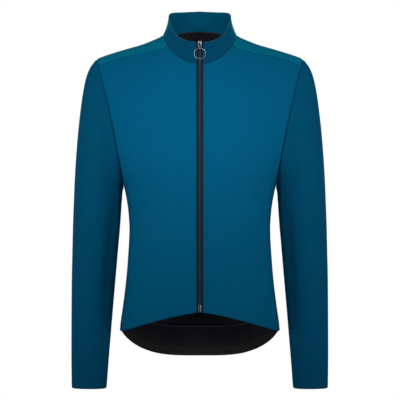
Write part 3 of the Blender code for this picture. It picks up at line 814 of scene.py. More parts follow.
def tail_hem_z(x):
    """The tail's rounded lower edge, which turns up fast in its last centimetre."""
    share = abs(x) / HEM_HALF_WIDTH
    rise = mix(share ** TAIL_ROUND, share ** TAIL_CORNER, CORNER_SHARE)
    return HEM_TAIL + (HEM_SIDE - HEM_TAIL) * rise


def tail_half(u, v):
    """Left half of the tail from the middle: hem 0, tail seam 1."""
    return settled(oval_share(u), lambda x: mix(tail_hem_z(x), tail_seam_z(x), v))


tail_point = both_sides(tail_half)
# Shallow flutes that the gripper's pull draws up from it, and one slanting fold
TAIL_CREASES = [
    Crease(-0.0790, -0.626, -0.0765, -0.668, 0.001, -0.0017, 0.0050),
    Crease(-0.0580, -0.628, -0.0565, -0.664, -0.001, -0.0018, 0.0045),
    Crease(-0.0270, -0.630, -0.0280, -0.668, 0.001, -0.0016, 0.0050),
    Crease(0.0120, -0.634, 0.0100, -0.662, 0.001, -0.0011, 0.0050),
    Crease(0.0330, -0.641, 0.0880, -0.624, 0.002, 0.0021, 0.0050),
    Crease(0.0600, -0.632, 0.0640, -0.668, -0.001, -0.0014, 0.0060),
]


def tail_relief(p, start, end, low, high):
    return (creased(TAIL_CREASES, p.x, p.z) + seam_dip(start, low) + seam_dip(end, low)
            + rolled_edge(low, 0.0007) + seam_dip(high, start)
            + stitch_groove(low, TAIL_HEM_GROOVE))


tail_rows = stations(lambda v: tail_point(1, v), 0, 1, TAIL_STEP)
tail = shell("tail_panel_cloth", tail_point, back_columns, tail_rows, tail_relief, WALL,
             [back_knit_and_sheen, brushed_black("black_tail_inner", (0.0160, 0.0150, 0.0190))])
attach(tail, "jacket")
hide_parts("tail_panel")

# ------------------------------------------------------------------ sleeves
# Each sleeve is one piece of a slightly darker knit with an underarm seam, set in along the
# slanted armhole and turned in at the cuff.

# Rings after the armhole: outermost x and z, innermost x and z, half depth, centre in y
RINGS = [
    (0.2325, -0.0670, 0.1616, -0.3205, 0.0670, 0.000),
    (0.2415, -0.0900, 0.1620, -0.3220, 0.0670, 0.000),
    (0.2480, -0.1220, 0.1624, -0.3235, 0.0665, 0.000),
    (0.2535, -0.1620, 0.1627, -0.3250, 0.0655, 0.000),
    (0.2585, -0.2080, 0.1630, -0.3268, 0.0645, 0.000),
    (0.2625, -0.2580, 0.1634, -0.3290, 0.0630, 0.000),
    (0.2655, -0.3080, 0.1642, -0.3330, 0.0620, 0.000),
    (0.2672, -0.3480, 0.1660, -0.3560, 0.0605, 0.001),
    (0.2692, -0.4000, 0.1691, -0.4020, 0.0580, 0.002),
    (0.2704, -0.4550, 0.1736, -0.4550, 0.0550, 0.001),
    (0.2714, -0.5100, 0.1781, -0.5100, 0.0510, -0.003),
    (0.2715, -0.5650, 0.1826, -0.5650, 0.0460, -0.009),
    (0.2713, -0.6200, 0.1870, -0.6200, 0.0405, -0.016),
    (0.2708, -0.6780, 0.1915, -0.6780, 0.0340, -0.025),
    (0.2695, -0.7435, 0.1960, -0.7440, 0.0275, -0.035),
]
# The rings over which the sleeve goes from the armhole's form to its own
ARMHOLE_BLEND = 5


def armhole_tip():
    """Where the armhole meets the shoulder line."""
    x = 0.2
    for _ in range(12):
        x = armhole_x(FRONT.crest(x))
    return x, FRONT.crest(x)


TIP_X, TIP_Z = armhole_tip()
rings = [(TIP_X, TIP_Z, ARMPIT.x, ARMPIT.z, 0.0670, 0.000)] + RINGS
outer_x, outer_z, inner_x, inner_z, half_depth, centre_y = (
    Profile([(k, *ring) for k, ring in enumerate(rings)], column) for column in range(1, 7))


def sleeve_point(u, v):
    """Left sleeve by turn, 0 outside, 0.25 in front, 0.5 inside, and by ring number."""
    angle = u * math.tau
    along = (1 + math.cos(angle)) / 2
    x, z = mix(ARMPIT.x, TIP_X, along), mix(ARMPIT.z, TIP_Z, along)
    edge = skin_y(armhole_x(z), z, FRONT if math.sin(angle) > 0 else BACK)
    depth = centre_y(v) - half_depth(v) * math.sin(angle)
    set_in = armhole_hollow(z) * (1 - smooth(v / ARMHOLE_BLEND))
    return Vector((mix(inner_x(v), outer_x(v), along) - set_in,
                   mix(edge, depth, smooth(v / ARMHOLE_BLEND)),
                   mix(inner_z(v), outer_z(v), along)))


# Soft folds at the elbow and one long hollow down the inner side of the forearm
SLEEVE_CREASES = [
    Crease(0.185, -0.360, 0.262, -0.335, 0.006, -0.0014, 0.010),
    Crease(0.190, -0.430, 0.255, -0.405, 0.005, -0.0010, 0.009),
    Crease(0.200, -0.470, 0.262, -0.452, 0.004, 0.0009, 0.009),
    Crease(0.185, -0.240, 0.225, -0.330, 0.006, -0.0012, 0.009),
    Crease(0.205, -0.560, 0.264, -0.585, 0.004, -0.0007, 0.010),
]
FOREARM_HOLLOW = [Crease(0.1738, -0.340, 0.1885, -0.625, -0.003, -0.0092, 0.0122)]
# How much lower the right sleeve's folds lie, and the distances from the armhole at which the
# folds and the underarm seam are full
RIGHT_FOLDS_LOWER, FOLDS_FROM, UNDERARM_FROM = 0.012, 0.012, 0.03
CUFF_GROOVE = 0.0045
SLEEVE_AROUND = 92


def sleeve_relief(lower):
    def relief(p, start, end, to_cuff, to_armhole):
        folds = creased(SLEEVE_CREASES, abs(p.x), p.z + lower)
        folds *= min(1.0, to_armhole / FOLDS_FROM)
        frontal = abs(math.sin(math.tau * start / (start + end)))
        folds += creased(FOREARM_HOLLOW, abs(p.x), p.z) * smooth(1.5 * frontal)
        underarm = seam_dip(abs(start - (start + end) / 2), to_armhole)
        return (folds + seam_dip(to_armhole, start)
                + underarm * smooth(to_armhole / UNDERARM_FROM)
                + rolled_edge(to_cuff) + stitch_groove(to_cuff, CUFF_GROOVE))
    return relief


def from_cuff(surface):
    """A sleeve's surface with its columns the other way, so that it faces out from the cuff up."""
    return lambda u, v: surface(1 - u, v)


sleeve_knit = stretch_knit("teal_sleeve_knit", (0.0002, 0.077, 0.162))
sleeve_columns = [k / SLEEVE_AROUND for k in range(SLEEVE_AROUND + 1)]
sleeve_rows = stations(lambda v: sleeve_point(0.2, v), 0, len(RINGS), CLOTH_STEP)
for side in ("sleeve_left", "sleeve_right"):
    left = side == "sleeve_left"
    sleeve = shell(side + "_cloth", from_cuff(sleeve_point if left else flipped(sleeve_point)),
                   sleeve_columns, sleeve_rows[::-1],
                   sleeve_relief(0 if left else RIGHT_FOLDS_LOWER), WALL,
                   [sleeve_knit, inner_fleece], closed=True)
    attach(sleeve, "jacket")
    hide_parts(side)

# ------------------------------------------------------------------ collar
# A doubled stand collar of a darker knit with more sheen, folded along its top edge and sewn to
# the neck. Its two front corners are rounded off beside the zip.
COLLAR_WALL = 0.0018
COLLAR_TOP_HALF_WIDTH, COLLAR_TOP_FRONT, COLLAR_TOP_BACK = 0.0662, 0.061, 0.052
COLLAR_BOW, COLLAR_FLARE = 0.0006, -0.0026
CORNER_FROM, CORNER_IN = 0.86, 0.0036
COLLAR_STEP, COLLAR_ROW_STEP = 0.0030, 0.0025
# Height of the collar's top edge by degrees round the neck from the zip
collar_top = Profile([(0.0, -0.0178), (12.0, -0.0174), (24.0, -0.0143), (37.0, -0.0083),
                      (49.0, 0.0000), (60.0, 0.0115), (75.0, 0.0285), (93.0, 0.0440),
                      (120.0, 0.0518), (180.0, 0.0570)])


def collar_point(angle, t):
    """Collar's outer side by angle round the neck and height share: it bows out a little in
    front and flares in a hollow at the sides."""
    base = neck_point(angle)
    depth = COLLAR_TOP_FRONT if math.cos(angle) > 0 else COLLAR_TOP_BACK
    top = Vector((COLLAR_TOP_HALF_WIDTH * math.sin(angle), -depth * math.cos(angle),
                  collar_top(math.degrees(angle))))
    bow = mix(COLLAR_BOW, COLLAR_FLARE, math.sin(angle) ** 8) * 4 * t * (1 - t)
    return mix(base, top, t) + Vector((math.sin(angle), -math.cos(angle), 0)) * bow


def collar_angle(x, t):
    """The angle round the neck at which the collar's front is at x."""
    return math.asin(x / mix(NECK_HALF_WIDTH, COLLAR_TOP_HALF_WIDTH, t))


def collar_edge(v):
    """Distance of the collar's front edge from the centre: its top corner is rounded off."""
    rise = max(0.0, (v - CORNER_FROM) / (1 - CORNER_FROM))
    return FRONT_EDGE + CORNER_IN * (1 - math.sqrt(1 - rise ** 2))


def collar_half(u, v):
    """Left half of the collar from the middle of the back, 0, to the front edge, 1."""
    return collar_point(mix(math.pi, collar_angle(collar_edge(v), v), u), v)


collar_sheet_point = both_sides(collar_half)


def collar_relief(p, start, end, low, high):
    return (neck_dip(p, low, start) + rolled_edge(high, 0.0014, 0.0026) + zip_fold(start)
            + zip_fold(end))


collar_columns = to_both_sides(stations(lambda u: collar_sheet_point(u, 0.5), 0, 1, COLLAR_STEP,
                                        fine_end=False))
collar_rows = stations(lambda v: collar_sheet_point(0.3, v), 0, 1, COLLAR_ROW_STEP)
collar_knit = stretch_knit("teal_collar_knit", (0.0003, 0.055, 0.127), 0.55)
collar_lining = stretch_knit("teal_collar_inner", (0.0003, 0.092, 0.180))
collar = shell("collar_cloth", collar_sheet_point, collar_columns, collar_rows, collar_relief,
               COLLAR_WALL, [collar_knit, collar_lining], folded=True)
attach(collar, "jacket")
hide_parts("collar")

# ------------------------------------------------------------------ zip tapes
# Two woven tapes with a corded inner edge, sewn behind the turned front edges from the hem to
# the top of the collar. Their dark edge shows on both sides of the teeth.
TAPE_INNER_EDGE, TAPE_OUTER_EDGE = 0.0022, 0.0150
TAPE_DEPTH, TAPE_WALL, TAPE_RISE = 0.0023, 0.0010, 0.0005


def centre_path(x, up, rise):
    """Skin beside the centre line: a rise above the hem 0, neck seam 1, collar's top 2."""
    if up <= 1:
        z = mix(front_hem_z(x) + rise, neck_point(math.asin(abs(x) / NECK_HALF_WIDTH)).z, up)
        return Vector((x, skin_y(x, z, FRONT), z))
    p = collar_point(collar_angle(abs(x), up - 1), up - 1)
    return Vector((x, p.y, p.z))


def tape_point(u, v):
    """Left tape by share of its width from the teeth, and up along the centre path."""
    return centre_path(mix(TAPE_INNER_EDGE, TAPE_OUTER_EDGE, u), v, TAPE_RISE)


def tape_relief(bead_first):
    def relief(p, start, end, low, high):
        to_bead = start if bead_first else end
        return -TAPE_DEPTH + 0.00045 * swell(to_bead, 0.0009, 0.0006)
    return relief


def woven_tape(name, colour):
    """Polyester tape: fine lengthwise cords crossed by a tight weft."""
    tape = Finish(name, {"Specular IOR Level": 0.12})
    over, up = tape.across_and_up("cloth")
    cords = ((over / 0.00065) * math.tau).sine() * 0.5 + 0.5
    weft = ((up / 0.00050 + (over / 0.0013).fraction()) * math.tau).sine() * 0.5 + 0.5
    fibres = tape.noise(tape.place(), 1400, 2, 0.6)
    weave = cords * 0.6 + weft * 0.4
    tape.feed("Base Color", tape.blend(weave * 0.7 + fibres * 0.3, shade(colour, 0.55),
                                       shade(colour, 1.35)))
    tape.feed("Roughness", weave * -0.1 + 0.75)
    tape.bump(weave + fibres * 0.3, 0.00018, 0.6)
    return tape.material


tape_cloth = woven_tape("navy_zip_tape", (0.0035, 0.0180, 0.0360))
tape_columns = [0, 0.03, 0.06, 0.09, 0.12, 0.16, 0.22, 0.3, 0.4, 0.55, 0.7, 0.85, 1]
tape_rows = stations(lambda v: tape_point(0.3, v), 0, 2, CLOTH_STEP, False, False)
for side in ("zip_tape_left", "zip_tape_right"):
    left = side == "zip_tape_left"
    tape = shell(side + "_cloth", tape_point if left else flipped(tape_point),
                 tape_columns if left else turned(tape_columns), tape_rows,
                 tape_relief(left), TAPE_WALL, [tape_cloth, tape_cloth])
    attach(tape, "jacket")
    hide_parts(side)

# ------------------------------------------------------------------ zip teeth
# A closed chain of small moulded teeth: each has a clamped foot on its tape's cord and a head
# that locks between the two heads of the other side.
TEETH_HALF_WIDTH, TEETH_DEPTH, TEETH_WALL = 0.0030, 0.0002, 0.0016
BOX_LENGTH, BOX_ABOVE_HEM, TEETH_ABOVE_BOX = 0.0160, 0.0004, 0.0003
TEETH_TOP, CHAIN_POINTS = 1.94, 400
TOOTH_PITCH, TOOTH_WIDTH, TOOTH_HEIGHT = 0.00130, 0.0037, 0.00108
TOOTH_EDGE = 0.00022


def spaced(line, pitch):
    """Places, directions and normals at an even pitch along a line of (place, normal)."""
    found, left = [], pitch / 2
    for (a, normal), (b, _) in zip(line, line[1:]):
        step = (b - a).length
        while left <= step and step > 0:
            found.append((a.lerp(b, left / step), (b - a).normalized(), normal))
            left += pitch
        left -= step
    return found


def facing(place, along, normal):
    """A frame with x across, y into the cloth and z along a line."""
    across_it = along.cross(normal).normalized()
    into = along.cross(across_it).normalized()
    turn = Matrix((across_it, into, along)).transposed().to_4x4()
    return Matrix.Translation(place) @ turn


def repeated(one, places):
    """Copies of a small mesh at many places, gathered in small lots because that is quicker."""
    lot_size = 40
    pattern = bpy.data.meshes.new("pattern")
    one.to_mesh(pattern)
    one.free()
    whole = bmesh.new()
    for first in range(0, len(places), lot_size):
        lot = bmesh.new()
        for place in places[first:first + lot_size]:
            before = len(lot.verts)
            lot.from_mesh(pattern)
            bmesh.ops.transform(lot, matrix=place, verts=lot.verts[before:])
        gathered = bpy.data.meshes.new("lot")
        lot.to_mesh(gathered)
        lot.free()
        whole.from_mesh(gathered)
        bpy.data.meshes.remove(gathered)
    bpy.data.meshes.remove(pattern)
    return whole


def moulded(name, colour):
    """Satin moulded plastic with lighter, worn high spots."""
    plastic = Finish(name, {"Specular IOR Level": 0.35})
    place = plastic.place()
    grain = plastic.noise(place, 2600, 2)
    rub = plastic.noise(place, 180, 3)
    plastic.feed("Base Color", plastic.blend(rub * 0.7 + grain * 0.3, shade(colour, 0.7),
                                             shade(colour, 1.4)))
    plastic.feed("Roughness", rub * 0.15 + 0.36)
    plastic.bump(grain, 0.00008, 0.35)
    return plastic.material


def rounded_off(bm, edges, offset, segments):
    """Edges bevelled to a round."""
    bmesh.ops.bevel(bm, geom=list(edges), offset=offset, segments=segments, profile=0.5,
                    material=-1, affect="EDGES")


def chain_line():
    """Places and normals up the centre of the zip, from the box nearly to the collar's top."""
    rise = BOX_ABOVE_HEM + BOX_LENGTH + TEETH_ABOVE_BOX
    line = []
    for k in range(CHAIN_POINTS + 1):
        up = TEETH_TOP * k / CHAIN_POINTS
        ahead, behind = (centre_path(0.0, max(up + d, 0), rise) for d in (0.01, -0.01))
        rising = (ahead - behind).normalized()
        line.append((centre_path(0.0, up, rise), Vector((1, 0, 0)).cross(rising).normalized()))
    return line


bm = bmesh.new()
bmesh.ops.create_cube(bm, size=1)
bmesh.ops.transform(bm, verts=bm.verts,
                    matrix=Matrix.Diagonal((TOOTH_WIDTH, TEETH_WALL, TOOTH_HEIGHT, 1)))
rounded_off(bm, bm.edges, TOOTH_EDGE, 1)
# The teeth stand by turns on the right tape and on the left one
rows = [Matrix.Translation((hand * (TEETH_HALF_WIDTH - TOOTH_WIDTH / 2),
                            TEETH_DEPTH + TEETH_WALL / 2, 0)) for hand in (-1, 1)]
tooth_places = [facing(*spot) @ rows[k % 2]
                for k, spot in enumerate(spaced(chain_line(), TOOTH_PITCH))]
teeth = as_object("zip_chain", repeated(bm, tooth_places),
                  [moulded("gunmetal_teeth", (0.034, 0.038, 0.046))])
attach(teeth, "jacket")
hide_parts("zip_teeth")

# ------------------------------------------------------------------ zip slider
# Die-cast, plated satin slider: a round-shouldered front plate with side flanges, a back plate,
# the wedge that parts the tapes, and an arched bridge that holds the pull. A near-black pin,
# which locks it to the teeth, fills the front plate's upper opening: its dark tone is painted
# shade, for the shadow in that hole.
SLIDER_CENTRE_Z = -0.0225
PLATE_FRONT, PLATE_THICK, PLATE_EDGE = 0.0004, 0.0013, 0.0009
PLATE_BACK, BACK_PLATE_THICK, BACK_PLATE_EDGE = -0.0046, 0.0010, 0.00035
# Left half of both plates' outline from the top down, in mm: across, up
PLATE_OUTLINE = [
    (0.0, 7.5), (1.4, 7.3), (2.7, 6.75), (3.8, 5.9), (4.7, 4.7), (5.3, 3.3), (5.55, 1.8),
    (5.35, 0.3), (4.7, -1.2), (4.0, -2.6), (3.7, -4.4), (3.6, -6.0), (3.3, -7.0), (2.6, -7.5),
    (1.3, -7.5), (0.0, -7.5)]
# The pin's opening above the bridge and the window below it, in mm: height, half width, half
# height
PLATE_HOLES = [(4.30, 1.45, 1.15), (-5.10, 1.45, 1.45)]
# A rim is an opening's where it starts within this reach of the opening's middle
HOLE_REACH, HOLE_EDGE = 0.0017, 0.0002
# The wedge, the flanges and the pin: each one's width, its lowest and highest place along the
# cloth and its rounded edge, then how far they reach into a plate, behind it and out of it
WEDGE_WIDTH, WEDGE_UP, WEDGE_EDGE = 0.0024, (0.0058, 0.0070), 0.0004
FLANGE_WIDTH, FLANGE_UP, FLANGE_EDGE = 0.0009, (-0.0058, 0.0014), 0.0003
PIN_WIDTH, PIN_UP, PIN_EDGE = 0.0027, (0.0032, 0.0053), 0.0002
INTO_FRONT_PLATE, INTO_BACK_PLATE = 0.0006, 0.0005
FLANGE_FROM_CENTRE, FLANGE_DEPTH = 0.0034, 0.0014
PIN_SUNK, PIN_RISE = 0.0006, 0.0005
# Inner and outer line of the bridge's arch, in mm: up along the cloth, out from it
ARCH = [
    ((-0.95, 1.0), (-3.4, 1.0)), ((-0.95, 2.6), (-3.35, 2.4)), ((-0.80, 3.6), (-2.7, 3.9)),
    ((-0.30, 4.2), (-1.4, 5.0)), ((0.50, 4.4), (0.2, 5.5)), ((1.30, 4.2), (1.7, 5.1)),
    ((1.80, 3.6), (2.7, 4.1)), ((1.95, 2.6), (3.15, 2.6)), ((1.95, 1.0), (3.3, 1.0))]
BRIDGE_WIDTH, BRIDGE_EDGE = 0.0022, 0.0004
# An edge is a rim where its two faces meet at more than this angle
RIM_ANGLE = 0.9


def slider_frame():
    """Where the slider sits: on the collar's front, turned to lie along it."""
    low, high = collar_point(0.0, 0.0), collar_point(0.0, 1.0)
    t = (SLIDER_CENTRE_Z - low.z) / (high.z - low.z)
    rising = (collar_point(0.0, min(t + 0.1, 1.0)) - collar_point(0.0, t - 0.1)).normalized()
    return (Matrix.Translation(collar_point(0.0, t))
            @ Matrix.Rotation(-math.atan2(rising.y, rising.z), 4, "X"))


def plated(name, colour, worn):
    """Plated metal: fine rubbing marks in its gloss, and patches that are worn brighter."""
    metal = Finish(name, {"Metallic": 1.0})
    place = metal.place()
    marks = metal.noise(place, 900, 3, 0.7)
    wear = metal.noise(place, 140, 2)
    metal.feed("Base Color", metal.blend(wear, shade(colour, 0.82), shade(colour, worn)))
    metal.feed("Roughness", marks * 0.14 + 0.20)
    metal.bump(marks, 0.00005, 0.4)
    return metal.material


def ring_of_points(bm, points):
    """A closed loop of edges through places."""
    loop = bmesh.ops.create_circle(bm, segments=len(points), radius=1)["verts"]
    for vert, place in zip(loop, points):
        vert.co = place
    return list({e for v in loop for e in v.link_edges})


def drawn_out(bm, faces, shift):
    """Faces extruded by a shift: gives the moved vertices."""
    geometry = bmesh.ops.extrude_face_region(bm, geom=faces)["geom"]
    moved = {item for item in geometry if isinstance(item, bmesh.types.BMVert)}
    bmesh.ops.translate(bm, vec=shift, verts=list(moved))
    return moved


def rims_of(verts):
    """The sharp edges that join a group of vertices."""
    return {e for v in verts for e in v.link_edges
            if e.other_vert(v) in verts and e.calc_face_angle(0) > RIM_ANGLE}


def outline_plate(bm, outline, low, high, edge, holes=()):
    """A flat plate between two depths, its outline and oval holes in mm, its front rims
    rounded."""
    loops = [outline + [(-x, z) for x, z in reversed(outline[1:-1])]]
    round_turns = [math.tau * k / 16 for k in range(16)]
    for middle, wide, tall in holes:
        loops.append([(wide * math.cos(turn), middle + tall * math.sin(turn))
                      for turn in round_turns])
    edges = [e for loop in loops
             for e in ring_of_points(bm, [Vector((x, -low * 1000, z)) / 1000 for x, z in loop])]
    filled = bmesh.ops.triangle_fill(bm, edges=edges, use_beauty=True)["geom"]
    base = [item for item in filled if isinstance(item, bmesh.types.BMFace)]
    rims = rims_of(drawn_out(bm, base, (0, low - high, 0)))
    inside = {e for e in rims for middle, _, _ in holes
              if (e.verts[0].co - Vector((0, -high, middle / 1000))).length < HOLE_REACH}
    rounded_off(bm, rims - inside, edge, 4)
    rounded_off(bm, inside, HOLE_EDGE, 4)


def block(bm, width, out, up, centre, edge):
    """A box in the slider's frame by its width, its two depths out from the cloth and its two
    heights, its edges rounded."""
    cube = bmesh.ops.create_cube(bm, size=1)["verts"]
    size = Matrix.Diagonal((width, out[1] - out[0], up[1] - up[0], 1))
    middle = Matrix.Translation((centre, -(out[0] + out[1]) / 2, (up[0] + up[1]) / 2))
    bmesh.ops.transform(bm, matrix=middle @ size, verts=cube)
    rounded_off(bm, {e for v in cube for e in v.link_edges}, edge, 2)


def bridge(bm):
    """The arch, filled between its two lines and drawn out across the slider."""
    strip = bmesh.ops.create_grid(bm, x_segments=len(ARCH) - 1, y_segments=1, size=1)["verts"]
    for k, vert in enumerate(strip):
        up, out = ARCH[k % len(ARCH)][k // len(ARCH)]
        vert.co = Vector((-BRIDGE_WIDTH / 2, -out / 1000, up / 1000))
    side = list({face for vert in strip for face in vert.link_faces})
    far_side = drawn_out(bm, side, (BRIDGE_WIDTH, 0, 0))
    rounded_off(bm, rims_of(set(strip)) | rims_of(far_side), BRIDGE_EDGE, 2)


def hard_piece(name, bm, place, material, body, node):
    """A metal piece brought from its own frame to its place, riding on its body."""
    bmesh.ops.transform(bm, matrix=place, verts=bm.verts)
    bmesh.ops.recalc_face_normals(bm, faces=bm.faces)
    piece = as_object(name, bm, [material])
    piece.data.set_sharp_from_angle(angle=math.radians(35))
    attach(piece, body)
    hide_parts(node)


silver = plated("satin_silver", (0.116, 0.109, 0.133), 1.50)
bm = bmesh.new()
outline_plate(bm, PLATE_OUTLINE, PLATE_FRONT, PLATE_FRONT + PLATE_THICK, PLATE_EDGE, PLATE_HOLES)
outline_plate(bm, PLATE_OUTLINE, PLATE_BACK, PLATE_BACK - BACK_PLATE_THICK, BACK_PLATE_EDGE)
block(bm, WEDGE_WIDTH, (PLATE_BACK - INTO_BACK_PLATE, PLATE_FRONT + INTO_FRONT_PLATE), WEDGE_UP,
      0.0, WEDGE_EDGE)
for hand in (-1, 1):
    block(bm, FLANGE_WIDTH, (PLATE_FRONT - FLANGE_DEPTH, PLATE_FRONT + INTO_FRONT_PLATE),
          FLANGE_UP, hand * FLANGE_FROM_CENTRE, FLANGE_EDGE)
bridge(bm)
hard_piece("slider", bm, slider_frame(), silver, "jacket", "zip_slider")

# Painted shade: the pin's near-black colour stands for the shadow in the plate's upper opening.
pin_painted_shade = plated("dark_pin_painted_shade", (0.030, 0.026, 0.030), 1.4)
bm = bmesh.new()
block(bm, PIN_WIDTH, (PLATE_FRONT - PIN_SUNK, PLATE_FRONT + PIN_RISE), PIN_UP, 0.0, PIN_EDGE)
hard_piece("slider_pin_painted_shade", bm, slider_frame(), pin_painted_shade, "jacket", "zip_slider")

# ------------------------------------------------------------------ pull link
# A stamped strap through the bridge's arch, with a slot that lets it swing up and down and a
# rolled barrel at its foot that holds the ring.
PULL_OUT, LINK_AXIS, LINK_WIDTH, LINK_PLATE = 0.0030, 0.0005, 0.0086, 0.0012
SLOT_WIDTH, SLOT_LOW, RING_AXIS = 0.0034, -0.0068, -0.0105
BARREL_LENGTH, BARREL_OUTER, BARREL_INNER = 0.0050, 0.0021, 0.0015
PLATE_CORNER, SLOT_CORNER = 0.0020, 0.0014
LINK_EDGE, BARREL_EDGE = 0.00028, 0.00016
AROUND = 40


def rounded(width, low, high, radius, turn):
    """A point on a round-cornered rectangle's outline, by turn."""
    angle = math.tau * turn
    x, z = math.cos(angle), math.sin(angle)
    reach = max(abs(x) / (width / 2), abs(z) / ((high - low) / 2))
    x, z = x / reach, z / reach
    inner_x, inner_z = width / 2 - radius, (high - low) / 2 - radius
    corner = Vector((max(abs(x) - inner_x, 0), max(abs(z) - inner_z, 0)))
    if corner.x > 0 and corner.y > 0:
        corner = corner.normalized() * radius
        x, z = math.copysign(inner_x + corner.x, x), math.copysign(inner_z + corner.y, z)
    return x, (low + high) / 2 + z


def hollow_plate(bm, outer, inner, shift, edge):
    """The face between two loops, drawn out by a shift, its rims rounded."""
    band = bmesh.ops.bridge_loops(bm, edges=ring_of_points(bm, outer)
                                  + ring_of_points(bm, inner))["faces"]
    moved = drawn_out(bm, band, shift)
    kept = {v for face in band if face.is_valid for v in face.verts}
    rounded_off(bm, rims_of(moved) | rims_of(kept), edge, 2)


def plate_loop(width, low, high, radius):
    """A loop on the back of the link's plate."""
    corners = [rounded(width, low, high, radius, k / AROUND) for k in range(AROUND)]
    return [Vector((x, LINK_PLATE / 2 - PULL_OUT, z)) for x, z in corners]


def barrel_loop(radius):
    """A loop at the right end of the link's barrel."""
    turns = [math.tau * k / AROUND for k in range(AROUND)]
    return [Vector((-BARREL_LENGTH / 2, -PULL_OUT + radius * math.cos(turn),
                    RING_AXIS + radius * math.sin(turn))) for turn in turns]


plate_low, plate_high = RING_AXIS + (BARREL_INNER + BARREL_OUTER) / 2, LINK_AXIS + LINK_PLATE / 2
bm = bmesh.new()
hollow_plate(bm, plate_loop(LINK_WIDTH, plate_low, plate_high, PLATE_CORNER),
             plate_loop(SLOT_WIDTH, SLOT_LOW, LINK_AXIS - LINK_PLATE / 2, SLOT_CORNER),
             (0, -LINK_PLATE, 0), LINK_EDGE)
hollow_plate(bm, barrel_loop(BARREL_OUTER), barrel_loop(BARREL_INNER), (BARREL_LENGTH, 0, 0),
             BARREL_EDGE)
hard_piece("link", bm, slider_frame(), silver, "link", "pull_link")

# ------------------------------------------------------------------ pull ring
# A thin round wire ring, closed through the link's barrel and polished brighter than it, to be
# caught with a gloved finger.
RING_RADIUS, RING_WIRE = 0.0118, 0.00070
WIRE_SIDES, RING_STEPS = 14, 72

bm = bmesh.new()
wire = bmesh.ops.create_circle(bm, segments=WIRE_SIDES, radius=RING_WIRE)["verts"]
bmesh.ops.translate(bm, vec=(RING_RADIUS, 0, 0), verts=wire)
bmesh.ops.transform(bm, matrix=Matrix.Rotation(math.pi / 2, 4, "X"), verts=wire)
bmesh.ops.spin(bm, geom=list({e for v in wire for e in v.link_edges}), cent=(0, 0, 0),
               axis=(0, 0, 1), angle=math.tau, steps=RING_STEPS, use_merge=True)
lying = (Matrix.Translation((0, -PULL_OUT, RING_AXIS - RING_RADIUS))
         @ Matrix.Rotation(math.pi / 2, 4, "X"))
bright_silver = plated("polished_ring_wire", (0.34, 0.42, 0.47), 1.2)
hard_piece("ring", bm, slider_frame() @ lying, bright_silver, "ring", "pull_ring")

# ------------------------------------------------------------------ zip box
# The gunmetal box and pin at the foot of the zip, tapered upward, with a groove where the pin
# enters on the wearer's left.
BOX_WIDTH, BOX_PROUD, BOX_BEHIND, BOX_EDGE = 0.0080, 0.0006, -0.0018, 0.0005
HEAD_WIDTH_SHARE, HEAD_PROUD_SHARE = 0.86, 0.2
GROOVE_FROM_CENTRE, GROOVE_HALF_WIDTH, GROOVE_DEPTH = 0.0019, 0.0004, 0.0007
BOX_RIM_ANGLE = 0.5


def box_place():
    """Where the box stands: on the front's foot, turned to lie along it."""
    low = HEM_FRONT + BOX_ABOVE_HEM
    foot, head = (Vector((0, skin_y(0, z, FRONT), z)) for z in (low, low + BOX_LENGTH))
    return (Matrix.Translation(foot)
            @ Matrix.Rotation(-math.atan2(head.y - foot.y, head.z - foot.z), 4, "X"))


bm = bmesh.new()
for vert in bmesh.ops.create_cube(bm, size=1)["verts"]:
    at_foot = vert.co.z < 0
    width = BOX_WIDTH if at_foot else BOX_WIDTH * HEAD_WIDTH_SHARE
    proud = BOX_PROUD if at_foot else BOX_PROUD * HEAD_PROUD_SHARE
    out = proud if vert.co.y < 0 else BOX_BEHIND
    vert.co = Vector((math.copysign(width / 2, vert.co.x), -out, 0 if at_foot else BOX_LENGTH))
across_it = [e for e in bm.edges if abs(e.verts[0].co.x - e.verts[1].co.x) > BOX_WIDTH / 2]
bmesh.ops.subdivide_edges(bm, edges=across_it, cuts=3, use_grid_fill=True)
for vert in bm.verts:
    if abs(vert.co.x - GROOVE_FROM_CENTRE) < GROOVE_HALF_WIDTH and vert.co.y < 0:
        vert.co.y += GROOVE_DEPTH
rounded_off(bm, [e for e in bm.edges if e.calc_face_angle(0) > BOX_RIM_ANGLE], BOX_EDGE, 2)
hard_piece("bottom_box", bm, box_place(), plated("gunmetal_box", (0.110, 0.110, 0.120), 1.5),
           "jacket", "zip_box")

# ------------------------------------------------------------------ tail gripper
# A band of ribbed elastic, sewn inside the tail's hem. It holds the tail down while the wearer
# leans forward.
GRIPPER_HEIGHT, GRIPPER_ABOVE_HEM, GRIPPER_WALL = 0.0190, 0.0010, 0.0010
GRIPPER_IN = WALL + 0.0003
GRIPPER_RIB, GRIPPER_THREAD = 0.0027, 0.0011
GRIPPER_ROWS = 24


def gripper_half(u, v):
    """Left half of the band from the middle, by share of its height."""
    return settled(oval_share(u),
                   lambda x: tail_hem_z(x) + GRIPPER_ABOVE_HEM + GRIPPER_HEIGHT * v)


def gripper_relief(p, start, end, low, high):
    ribs = math.sin(low / GRIPPER_RIB * math.tau) * smooth(low / 0.001) * smooth(high / 0.001)
    draw = math.sin(start * 520) * math.sin(start * 147 + 1)
    return -GRIPPER_IN + 0.00016 * ribs + 0.00012 * draw


